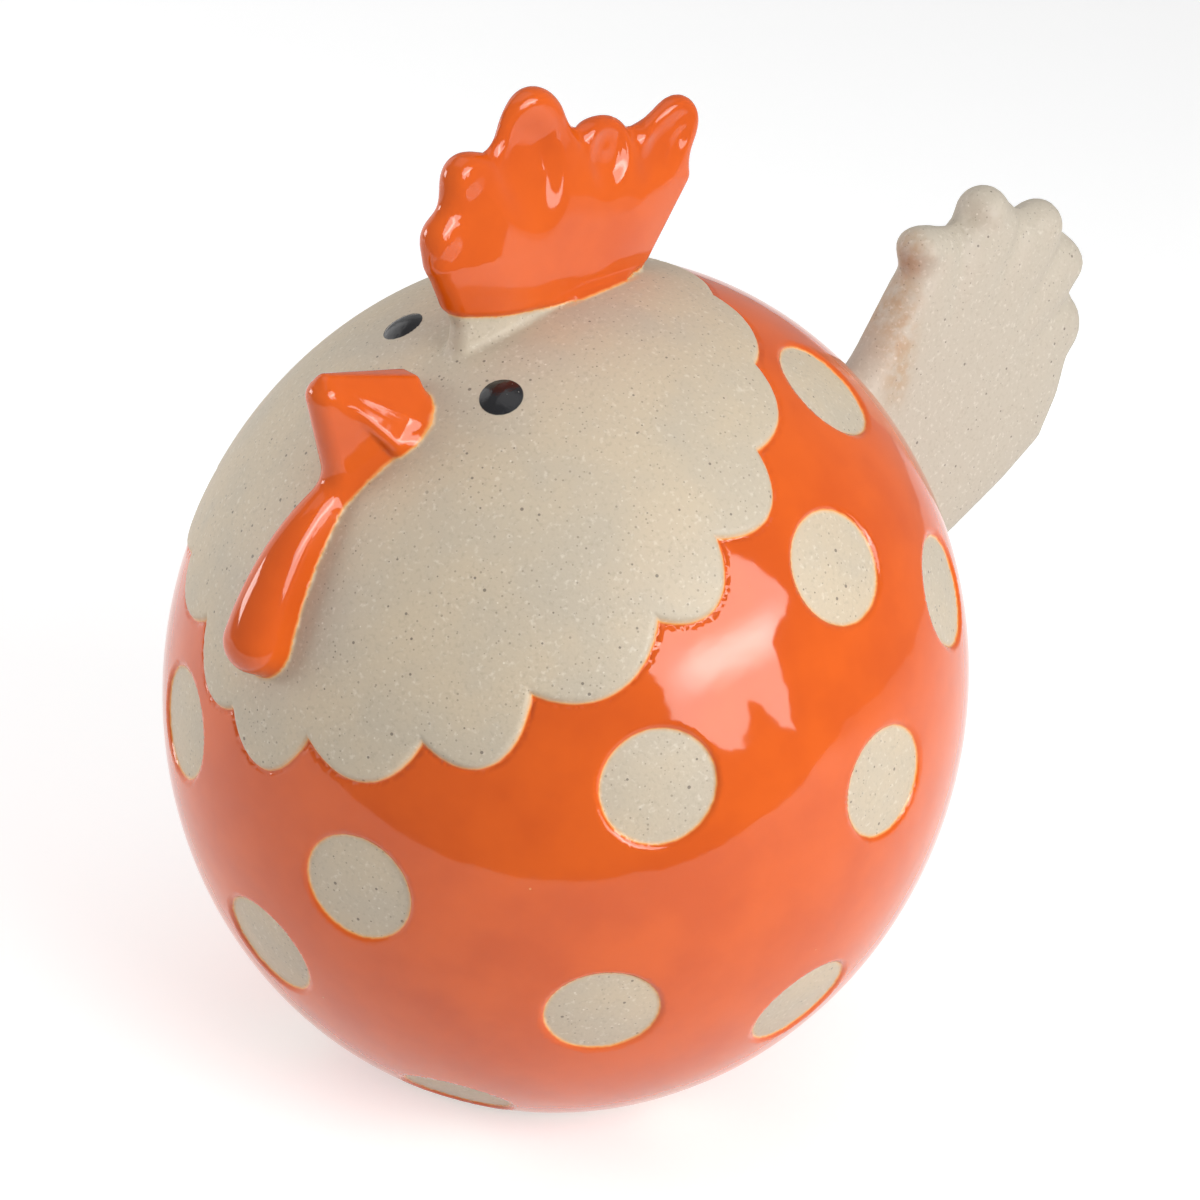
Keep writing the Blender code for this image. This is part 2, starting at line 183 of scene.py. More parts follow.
def off_axis(points: np.ndarray, middle: np.ndarray, axis: np.ndarray) -> np.ndarray:
    """Distances of the points from the line through a middle along a unit axis."""
    away = points - middle
    return np.linalg.norm(away - (away @ axis)[:, None] * axis, axis=1)


@dataclass(frozen=True)
class Body:
    """The egg-shaped body: an ellipsoid with a flat foot, hollow, with a vent in the foot."""

    width: float = 0.0800
    length: float = 0.0822
    height: float = 0.0882
    wall: float = 0.0045
    foot_radius: float = 0.0140
    foot_rounding: float = 0.0012
    vent_radius: float = 0.0035

    @property
    def half(self) -> np.ndarray:
        """Half the width, length and height."""
        return np.array([self.width, self.length, self.height]) / 2

    @property
    def foot_depth(self) -> float:
        """Depth of the foot's flat face below the middle of the body.

        It is where the ellipsoid's level section has the foot's mean radius.
        """
        share = 4 * self.foot_radius / (self.width + self.length)
        return float(self.half[2]) * math.sqrt(1 - share**2)

    def shell(self, points: np.ndarray, lift: float = 0.0) -> np.ndarray:
        """Near distance to the ellipsoid: k (k - 1) / g.

        k is the length of the point scaled by the half sizes, and g the length of the point
        scaled by their squares.

        Args:
            points: Places from the middle of the body.
            lift: Growth of every half size.

        Returns:
            Signed distances.
        """
        half = self.half + lift
        scaled = np.linalg.norm(points / half, axis=1)
        slope = np.maximum(np.linalg.norm(points / half**2, axis=1), TINY_LENGTH)
        return scaled * (scaled - 1) / slope

    def surface_point(self, way: np.ndarray, lift: float = 0.0) -> np.ndarray:
        """Point of the ellipsoid in a direction from its middle."""
        return way / np.linalg.norm(way / (self.half + lift))

    def outward(self, points: np.ndarray) -> np.ndarray:
        """Unit normals of the ellipsoid through the points."""
        slope = points / self.half**2
        return slope / np.linalg.norm(slope, axis=-1, keepdims=True)

    def seat(self, rise: float) -> np.ndarray:
        """Point of the outline in the middle plane, by degrees up from straight back."""
        angle = math.radians(rise)
        return self.surface_point(np.array([0, math.cos(angle), math.sin(angle)]))

    def flatten_foot(self, points: np.ndarray, distance: np.ndarray) -> np.ndarray:
        """Cut the foot flat, with a rounded rim: a soft maximum of the skin and the plane."""
        plane = -self.foot_depth - points[:, 2]
        return -smooth_union(-distance, -plane, self.foot_rounding)

    def hollow(self, points: np.ndarray) -> np.ndarray:
        """Distance to the air inside: the inner ellipsoid above the floor, and the vent."""
        floor = -self.foot_depth + self.wall - points[:, 2]
        inner = np.maximum(self.shell(points, -self.wall), floor)
        vent = np.linalg.norm(points[:, :2], axis=1) - self.vent_radius
        vent = np.maximum(vent, np.abs(points[:, 2] + self.foot_depth) - 2 * self.wall)
        return np.minimum(inner, vent)


@dataclass(frozen=True)
class Hood:
    """Low relief of bare clay over the head, with a hand-cut scalloped edge.

    A scallop is (degrees round the axis to the cusp where it starts, degrees out from the axis
    to that cusp, degrees by which it bows out past the line to the next cusp).
    """

    tilt: float = 32.3
    depth: float = 0.0008
    shoulder: float = 0.0009
    scallops: tuple = (
        (-150.5, 42.2, 2.5),
        (-129.0, 42.5, 3.0),
        (-107.5, 43.0, 4.0),
        (-86.0, 43.6, 4.4),
        (-64.5, 44.2, 4.4),
        (-43.0, 44.0, 3.5),
        (-22.0, 43.4, 3.9),
        (-5.0, 49.5, 5.9),
        (14.0, 48.6, 4.8),
        (36.5, 48.0, 5.7),
        (57.5, 45.2, 4.4),
        (83.5, 45.0, 4.6),
        (102.5, 43.2, 4.3),
        (123.5, 42.9, 2.5),
        (145.0, 42.3, 2.0),
        (166.5, 42.0, 2.0),
        (188.0, 42.0, 2.2),
    )
    reach: float = 0.0425
    least_sine: float = 0.3
    carried_on: float = 1.1

    def fields(self, points: np.ndarray) -> tuple[np.ndarray, np.ndarray]:
        """Distances inside the hood's edge, by every other scallop.

        A scallop is a parabola in degrees, carried on past both of its cusps, and the hood is
        the union of all. Odd and even ones are kept apart, so that each of the two fields is
        smooth where they cross and the cusps stay sharp.

        Args:
            points: Places from the middle of the body.

        Returns:
            Distances inside the even and inside the odd scallops.
        """
        tilt = math.radians(self.tilt)
        axis = np.array([0, -math.sin(tilt), math.cos(tilt)])
        front = np.array([0, -math.cos(tilt), -math.sin(tilt)])
        ways = points / np.maximum(np.linalg.norm(points, axis=1, keepdims=True), TINY_LENGTH)
        spread = np.degrees(np.arccos(np.clip(ways @ axis, -1, 1)))
        turn = np.degrees(np.arctan2(ways[:, 0], ways @ front))
        first = self.scallops[0]
        ends = [*self.scallops[1:], (first[0] + 360, *first[1:])]
        found = [np.full(len(points), -1.0), np.full(len(points), -1.0)]
        for index, (scallop, end) in enumerate(zip(self.scallops, ends)):
            start, cusp, bow = scallop
            pitch = end[0] - start
            off = (turn - start - pitch / 2 + 180) % 360 - 180
            along = off / pitch + 0.5
            line = cusp + along * (end[1] - cusp)
            edge = line + bow * (1 - (2 * along - 1) ** 2)
            slope = (end[1] - cusp - 4 * bow * (2 * along - 1)) / pitch
            slope = slope / np.maximum(np.sin(np.radians(spread)), self.least_sine)
            inside = np.radians(edge - spread) * self.reach / np.sqrt(1 + slope**2)
            inside = np.where(np.abs(along - 0.5) < self.carried_on, inside, -1.0)
            found[index % 2] = np.maximum(found[index % 2], inside)
        return found[0], found[1]


@dataclass(frozen=True)
class Dots:
    """Bare rounds left open in the glaze, by direction from the middle of the body."""

    radius: float = 0.0055
    on_the_mid_line: tuple = ((0.7, -27.7), (180, -20), (180, -52))
    in_pairs: tuple = (
        (59, 12.3),
        (92, 38.3),
        (97, 7.5),
        (31, -55),
        (56, -23.8),
        (93, -29.4),
        (122, 59.3),
        (122, 27.3),
        (132, -14),
        (156, 8),
        (96, -58),
        (135, -45),
    )
    on_one_side: tuple = ((20.1, -8.9), (-18.3, -0.7), (-158, 49))

    def directions(self) -> list[np.ndarray]:
        """Unit vectors to all dots, each pair mirrored across the middle plane."""
        mirrored = [(-azimuth, elevation) for azimuth, elevation in self.in_pairs]
        places = [*self.on_the_mid_line, *self.in_pairs, *mirrored, *self.on_one_side]
        return [direction(*place) for place in places]

    def outside(self, points: np.ndarray, body: Body) -> np.ndarray:
        """Distances out from the edge of the nearest dot, measured off its axis.

        Args:
            points: Places from the middle of the body.
            body: The body that carries the dots.

        Returns:
            Distances, negative inside a dot.
        """
        nearest = np.full(len(points), 1.0)
        for way in self.directions():
            middle = body.surface_point(way)
            across = off_axis(points, middle, body.outward(middle))
            side = np.where(points @ way > 0, 0.0, 1.0)
            nearest = np.minimum(nearest, across - self.radius + side)
        return nearest


@dataclass(frozen=True)
class LobedPlate:
    """Plate in the middle plane, thicker inside than at its rounded edge, with round lobes.

    Plate points are (back, up) from its seat on the body. The outline is a web of corners grown
    by an edge radius and softly joined with the lobes' circles.
    """

    rise: float
    lobes: tuple
    web: tuple
    web_edge: float
    thickness: float
    edge_thickness: float
    taper: float
    thinning: float
    merge: float
    fillet: float
    grooves: tuple
    groove_depth: float
    groove_width: float
    groove_length: float
    dishes: tuple

    def flat(self, points: np.ndarray, body: Body) -> np.ndarray:
        """Points in the plate's plane, (back, up) from its seat."""
        return points[:, 1:] - body.seat(self.rise)[1:]

    def outline(self, flat: np.ndarray) -> np.ndarray:
        """Signed distance in the plane to the outline.

        Args:
            flat: Points in the plate's plane.

        Returns:
            Distances, negative inside.
        """
        corners = np.array(self.web)
        nearest = np.full(len(flat), np.inf)
        inside = np.zeros(len(flat), bool)
        for start, end in zip(corners, np.roll(corners, -1, axis=0)):
            run = end - start
            away = flat - start
            along = np.clip(away @ run / (run @ run), 0, 1)
            nearest = np.minimum(nearest, np.linalg.norm(away - along[:, None] * run, axis=1))
            spans = (start[1] > flat[:, 1]) != (end[1] > flat[:, 1])
            level = (flat[:, 1] - start[1]) / (run[1] or 1.0) * run[0] + start[0]
            inside ^= spans & (flat[:, 0] < level)
        distance = np.where(inside, -nearest, nearest) - self.web_edge
        for back, up, radius in self.lobes:
            circle = np.linalg.norm(flat - (back, up), axis=1) - radius
            distance = smooth_union(distance, circle, self.merge)
        return distance

    def carving(self, flat: np.ndarray) -> np.ndarray:
        """Depth carved from each face: grooves between the lobes and dishes in them.

        A groove runs from the outline inwards, with a bell-shaped section, and fades along its
        length. A dish is (back, up, half length, half width, degrees its length leans back from
        upright, depth), and falls off as the bell exp(-ring^4).

        Args:
            flat: Points in the plate's plane.

        Returns:
            Depths.
        """
        total = np.zeros(len(flat))
        for back, up, inward_back, inward_up in self.grooves:
            run = np.array([inward_back - back, inward_up - up])
            run = run / np.linalg.norm(run)
            away = flat - (back, up)
            along = away @ run
            across = np.linalg.norm(away - along[:, None] * run, axis=1)
            fade = np.clip(1 - along / self.groove_length, 0, 1)
            bell = np.exp(-((across / self.groove_width) ** 2))
            total = np.maximum(total, self.groove_depth * fade * bell)
        for back, up, long, wide, lean, depth in self.dishes:
            angle = math.radians(lean)
            away = flat - (back, up)
            along = away @ np.array([math.sin(angle), math.cos(angle)])
            across = away @ np.array([math.cos(angle), -math.sin(angle)])
            ring = np.sqrt((along / long) ** 2 + (across / wide) ** 2)
            total = total + depth * np.exp(-(ring**4))
        return total

    def distance(self, points: np.ndarray, body: Body) -> np.ndarray:
        """Signed distance to the plate, a round rim with faces that swell inwards from it.

        Args:
            points: Places from the middle of the body.
            body: The body that carries the plate.

        Returns:
            Signed distances, or FAR where a point is nowhere near.
        """
        flat = self.flat(points, body)
        reached = [lobe[:2] for lobe in self.lobes] + list(self.web)
        low, high = np.min(reached, axis=0), np.max(reached, axis=0)
        near = np.all((flat > low - FAR / 2) & (flat < high + FAR / 2), axis=1)
        near &= np.abs(points[:, 0]) < FAR / 2
        result = np.full(len(points), FAR)
        flat, sideways = flat[near], np.abs(points[near, 0])
        outline = self.outline(flat)
        rim = self.edge_thickness / 2
        swell = np.sin(np.clip(-outline / self.taper, 0, 1) * math.pi / 2)
        inner = self.thickness / 2 - self.thinning * flat[:, 1]
        half = rim + (inner - rim) * swell - self.carving(flat)
        over = outline + rim
        above = sideways - (half - rim)
        away = np.sqrt(np.maximum(over, 0) ** 2 + np.maximum(above, 0) ** 2)
        result[near] = away + np.minimum(np.maximum(over, above), 0) - rim
        return result


@dataclass(frozen=True)
class Comb(LobedPlate):
    """Comb of five lobes, dished between raised rims."""

    rise: float = 102.5
    lobes: tuple = (
        (-0.0139, 0.0083, 0.0016),
        (-0.0119, 0.0139, 0.0018),
        (-0.0043, 0.0187, 0.0030),
        (0.0051, 0.0149, 0.0028),
        (0.0150, 0.0163, 0.0023),
    )
    web: tuple = (
        (-0.0098, -0.0070),
        (-0.0098, -0.0004),
        (-0.0133, 0.0056),
        (-0.0119, 0.0112),
        (-0.0111, 0.0136),
        (-0.0083, 0.0142),
        (-0.0062, 0.0170),
        (-0.0020, 0.0176),
        (0.0012, 0.0152),
        (0.0083, 0.0144),
        (0.0143, 0.0160),
        (0.0156, 0.0110),
        (0.0092, -0.0004),
        (0.0092, -0.0070),
    )
    web_edge: float = 0.0016
    thickness: float = 0.0060
    edge_thickness: float = 0.0026
    taper: float = 0.0080
    thinning: float = 0.045
    merge: float = 0.0032
    fillet: float = 0.0008
    grooves: tuple = ((0.0016, 0.0180, 0.0030, 0.0120), (0.0085, 0.0170, 0.0099, 0.0115))
    groove_depth: float = 0.0006
    groove_width: float = 0.0009
    groove_length: float = 0.0052
    dishes: tuple = (
        (-0.0052, 0.0148, 0.0054, 0.0034, -20.0, 0.0009),
        (0.0052, 0.0146, 0.0030, 0.0022, 10.0, 0.0007),
        (0.0128, 0.0148, 0.0042, 0.0022, 40.0, 0.0007),
    )


@dataclass(frozen=True)
class Tail(LobedPlate):
    """Tail fan of five feather lobes."""

    rise: float = 17.0
    lobes: tuple = (
        (0.0051, 0.0288, 0.0024),
        (0.0144, 0.0316, 0.0030),
        (0.0238, 0.0289, 0.0030),
        (0.0287, 0.0240, 0.0028),
        (0.0298, 0.0163, 0.0029),
    )
    web: tuple = (
        (-0.0058, 0.0079),
        (0.0008, 0.0165),
        (0.0050, 0.0239),
        (0.0078, 0.0281),
        (0.0179, 0.0297),
        (0.0264, 0.0259),
        (0.0293, 0.0179),
        (0.0282, 0.0095),
        (0.0265, 0.0051),
        (0.0217, 0.0013),
        (0.0153, -0.0028),
        (-0.0005, -0.0126),
        (-0.0058, -0.0126),
    )
    web_edge: float = 0.0026
    thickness: float = 0.0064
    edge_thickness: float = 0.0050
    taper: float = 0.0060
    thinning: float = 0.0
    merge: float = 0.0020
    fillet: float = 0.0050
    grooves: tuple = (
        (0.0098, 0.0302, 0.0080, 0.0180),
        (0.0191, 0.0303, 0.0130, 0.0180),
        (0.0263, 0.0265, 0.0170, 0.0160),
        (0.0293, 0.0202, 0.0180, 0.0130),
    )
    groove_depth: float = 0.0009
    groove_width: float = 0.0014
    groove_length: float = 0.0110
    dishes: tuple = ()


@dataclass(frozen=True)
class Beak:
    """Beak of a fluted upper half that overhangs a lower half.

    Corners are (sideways, forward, up) from the beak's seat, each mirrored across the middle
    plane, and the first of the upper ones is the tip. Flutes fan out from the tip, by degrees
    down from level.
    """

    rise: float = 129.7
    upper: tuple = (
        (0.0, 0.0083, 0.0059),
        (0.0007, -0.0015, 0.0045),
        (0.0033, 0.0021, 0.0002),
        (0.0034, -0.0015, 0.0010),
    )
    upper_edge: float = 0.0010
    lower: tuple = (
        (0.0, 0.0082, 0.0047),
        (0.0014, 0.0020, -0.0010),
        (0.0022, -0.0010, -0.0022),
        (0.0, 0.0053, -0.0034),
        (0.0, 0.0010, -0.0054),
    )
    lower_edge: float = 0.0018
    mouth: float = 0.0003
    flutes: tuple = (19.0, 29.0)
    flute_depth: float = 0.00005
    flute_width: float = 4.0
    flute_start: float = 0.0020
    fillet: float = 0.0012

    def corners(self, half: tuple, seat: np.ndarray) -> np.ndarray:
        """Corners of one half and their mirror images, as places."""
        both = {(side * turn, forward, up) for side, forward, up in half for turn in (-1, 1)}
        offsets = [(side, -forward, up) for side, forward, up in sorted(both)]
        return seat + np.array(offsets)

    def fluting(self, points: np.ndarray, seat: np.ndarray) -> np.ndarray:
        """Depth of the flutes: a bell round each one's angle at the tip, from a start outwards.

        Args:
            points: Places from the middle of the body.
            seat: The beak's seat.

        Returns:
            Depths.
        """
        tip = seat + np.array([0, -self.upper[0][1], self.upper[0][2]])
        away = points - tip
        fall = np.degrees(np.arctan2(-away[:, 2], away[:, 1]))
        reach = np.clip(np.linalg.norm(away, axis=1) / self.flute_start - 1, 0, 1)
        bells = sum(np.exp(-(((fall - flute) / self.flute_width) ** 2)) for flute in self.flutes)
        return self.flute_depth * reach * bells

    def distance(self, points: np.ndarray, body: Body) -> np.ndarray:
        """Signed distance to both halves.

        Args:
            points: Places from the middle of the body.
            body: The body that carries the beak.

        Returns:
            Signed distances, or FAR where a point is nowhere near.
        """
        seat = body.seat(self.rise)
        near = np.linalg.norm(points - seat, axis=1) < FAR
        result = np.full(len(points), FAR)
        upper = grown_hull(points[near], self.corners(self.upper, seat), self.upper_edge)
        upper = upper + self.fluting(points[near], seat)
        lower = grown_hull(points[near], self.corners(self.lower, seat), self.lower_edge)
        result[near] = smooth_union(upper, lower, self.mouth)
        return result


@dataclass(frozen=True)
class Wattle:
    """Drop that hangs from below the beak, bends forward and lies on the chest.

    Its middle line is (1-t)^2 A + 2 t (1-t) B + t^2 C, with its three points as (forward, up)
    from the beak's seat, and its radius swells along it with a power of t.
    """

    curve: tuple = ((0.0050, -0.0042), (0.0119, -0.0096), (0.0138, -0.0188))
    top_radius: float = 0.0012
    end_radius: float = 0.0032
    swelling: float = 0.85
    places: int = 33
    fillet: float = 0.0014

    def distance(self, points: np.ndarray, seat: np.ndarray) -> np.ndarray:
        """Signed distance to the drop.

        The distance to balls set closely along the curve has its least value where a parabola
        through the least and its two neighbours has it.

        Args:
            points: Places from the middle of the body.
            seat: The beak's seat.

        Returns:
            Signed distances, or FAR where a point is nowhere near.
        """
        start, steer, end = [np.array(point) for point in self.curve]
        t = np.linspace(0, 1, self.places)[:, None]
        line = (1 - t) ** 2 * start + 2 * t * (1 - t) * steer + t**2 * end
        balls = np.column_stack([np.zeros(len(t)), -line[:, 0], line[:, 1]]) + seat
        radii = self.top_radius + t[:, 0] ** self.swelling * (self.end_radius - self.top_radius)
        near = np.linalg.norm(points - balls[self.places // 2], axis=1) < FAR
        result = np.full(len(points), FAR)
        away = np.linalg.norm(points[near][:, None, :] - balls[None], axis=2) - radii
        least = np.clip(away.argmin(axis=1), 1, self.places - 2)
        rows = np.arange(len(least))
        before, here, after = (away[rows, least + shift] for shift in (-1, 0, 1))
        bend = np.maximum(before - 2 * here + after, TINY)
        shift = np.clip((before - after) / (2 * bend), -1, 1)
        result[near] = here - shift * (before - after) / 2 + shift**2 * bend / 2
        return result


@dataclass(frozen=True)
class Eyes:
    """Two low black domes on the hood, painted by hand and so not quite level."""

    radius: float = 0.0021
    dome: float = 0.0005
    left: tuple = (20.8, 59.4)
    right: tuple = (-25.7, 61.7)

    def inside(self, points: np.ndarray, body: Body) -> np.ndarray:
        """Distances in from the edge of the nearer eye, negative outside."""
        nearest = np.full(len(points), -1.0)
        for place in (self.left, self.right):
            middle = body.surface_point(direction(*place))
            across = off_axis(points, middle, body.outward(middle))
            nearest = np.maximum(nearest, self.radius - across - (points[:, 2] < 0))
        return nearest


@dataclass
class Skin:
    """A triangle mesh on its way from the grid to the finished surface."""

    points: np.ndarray
    triangles: np.ndarray

    def edges(self) -> tuple[np.ndarray, np.ndarray]:
        """Every edge once, and for each triangle the numbers of its three edges."""
        sides = ([0, 1], [1, 2], [2, 0])
        pairs = np.concatenate([self.triangles[:, side] for side in sides])
        pairs = np.sort(pairs, axis=1)
        edges, index = np.unique(pairs, axis=0, return_inverse=True)
        return edges, index.reshape(3, -1).T

    def split(self, wanted: np.ndarray, edges: np.ndarray, of_triangle: np.ndarray) -> None:
        """Split the wanted edges at their middles and rebuild the triangles that they bound.

        A triangle becomes two, three or four, by how many of its edges are split, so
        neighbours still meet edge to edge.

        Args:
            wanted: True for each edge to split.
            edges: The edges, as pairs of points.
            of_triangle: For each triangle the numbers of its three edges.
        """
        new = np.full(len(edges), -1)
        new[wanted] = len(self.points) + np.arange(int(wanted.sum()))
        middles = self.points[edges[wanted]].mean(axis=1)
        self.points = np.concatenate([self.points, middles])
        mids = new[of_triangle]
        count = (mids >= 0).sum(axis=1)
        parts = [self.triangles[count == 0]]
        for turn in range(3):
            order = [turn, (turn + 1) % 3, (turn + 2) % 3]
            a, b, c = self.triangles[:, order].T
            ab, bc, ca = mids[:, order].T
            one = (count == 1) & (ab >= 0)
            parts.append(np.column_stack([a, ab, c])[one])
            parts.append(np.column_stack([ab, b, c])[one])
            two = (count == 2) & (ca < 0)
            parts.append(np.column_stack([ab, b, bc])[two])
            parts.append(np.column_stack([a, ab, c])[two])
            parts.append(np.column_stack([ab, bc, c])[two])
        a, b, c = self.triangles[count == 3].T
        ab, bc, ca = mids[count == 3].T
        for corner in ((a, ab, ca), (ab, b, bc), (ca, bc, c), (ab, bc, ca)):
            parts.append(np.column_stack(corner))
        self.triangles = np.concatenate(parts)

    def relax(self, strength: float) -> None:
        """Move every point part of the way to the mean of its neighbours."""
        edges, _ = self.edges()
        total = np.zeros_like(self.points)
        count = np.zeros(len(self.points))
        for here, there in ((0, 1), (1, 0)):
            np.add.at(total, edges[:, here], self.points[edges[:, there]])
            np.add.at(count, edges[:, here], 1)
        mean = total / np.maximum(count, 1)[:, None]
        self.points = self.points + strength * (mean - self.points)


def gradient(distance: Field, points: np.ndarray, reach: float) -> np.ndarray:
    """Slope of a distance at the points, by the difference over a short reach each way."""
    slopes = []
    for axis in range(3):
        step = np.zeros(3)
        step[axis] = reach
        slopes.append((distance(points + step) - distance(points - step)) / (2 * reach))
    return np.column_stack(slopes)


def settle(distance: Field, points: np.ndarray, rounds: int, reach: float) -> np.ndarray:
    """Move points onto the surface along the slope of its distance, by Newton's rule.

    Args:
        distance: The signed distance.
        points: Places near the surface.
        rounds: Steps to take.
        reach: Reach of the slope's difference.

    Returns:
        The moved points.
    """
    for _ in range(rounds):
        slope = gradient(distance, points, reach)
        size = np.maximum((slope**2).sum(axis=1), FLATTEST)
        move = slope * (distance(points) / size)[:, None]
        length = np.linalg.norm(move, axis=1, keepdims=True)
        points = points - move * np.minimum(1, MM / np.maximum(length, TINY))
    return points


def skin_of(distance: Field, low: np.ndarray, high: np.ndarray, step: float) -> Skin:
    """Read a closed skin off a grid of distances.

    Each grid cell that the surface crosses gets one point, at the mean of the crossings on its
    edges, and each crossed grid edge gets a face between the four cells round it.

    Args:
        distance: The signed distance.
        low: Lowest corner of the grid.
        high: Highest corner of the grid.
        step: Size of a cell.

    Returns:
        The skin, faces outwards.
    """
    axes = [np.arange(start, end + step, step) for start, end in zip(low, high)]
    shape = tuple(len(axis) for axis in axes)
    values = np.empty(shape)
    level = np.stack(np.meshgrid(axes[1], axes[2], indexing="ij"), axis=-1).reshape(-1, 2)
    for index, across in enumerate(axes[0]):
        points = np.column_stack([np.full(len(level), across), level])
        values[index] = distance(points).reshape(shape[1:])
    inside = values < 0
    total = np.zeros((*(size - 1 for size in shape), 3))
    count = np.zeros(total.shape[:3])
    crossings = []
    for axis in range(3):
        first = [slice(None)] * 3
        second = [slice(None)] * 3
        first[axis], second[axis] = slice(None, -1), slice(1, None)
        crossed = np.argwhere(inside[tuple(first)] != inside[tuple(second)])
        after = crossed.copy()
        after[:, axis] += 1
        one, two = values[tuple(crossed.T)], values[tuple(after.T)]
        share = one / (one - two)
        place = np.column_stack([axes[item][crossed[:, item]] for item in range(3)])
        place[:, axis] += share * step
        crossings.append((axis, crossed, one < 0))
        others = [item for item in range(3) if item != axis]
        for back_one in (0, 1):
            for back_two in (0, 1):
                cell = crossed.copy()
                cell[:, others[0]] -= back_one
                cell[:, others[1]] -= back_two
                np.add.at(total, tuple(cell.T), place)
                np.add.at(count, tuple(cell.T), 1)
    active = count > 0
    number = np.full(active.shape, -1)
    number[active] = np.arange(int(active.sum()))
    points = total[active] / count[active][:, None]
    faces = []
    for axis, crossed, leaves in crossings:
        one, two = (axis + 1) % 3, (axis + 2) % 3
        corners = []
        for back_one, back_two in ((1, 1), (0, 1), (0, 0), (1, 0)):
            cell = crossed.copy()
            cell[:, one] -= back_one
            cell[:, two] -= back_two
            corners.append(number[tuple(cell.T)])
        quads = np.column_stack(corners)
        faces.append(np.where(leaves[:, None], quads, quads[:, ::-1]))
    quads = np.concatenate(faces)
    across = np.linalg.norm(points[quads[:, 0]] - points[quads[:, 2]], axis=1)
    other = np.linalg.norm(points[quads[:, 1]] - points[quads[:, 3]], axis=1)
    short = across < other
    triangles = np.concatenate(
        [
            quads[short][:, [0, 1, 2]],
            quads[short][:, [0, 2, 3]],
            quads[~short][:, [1, 2, 3]],
            quads[~short][:, [1, 3, 0]],
        ]
    )
    return Skin(points, triangles)


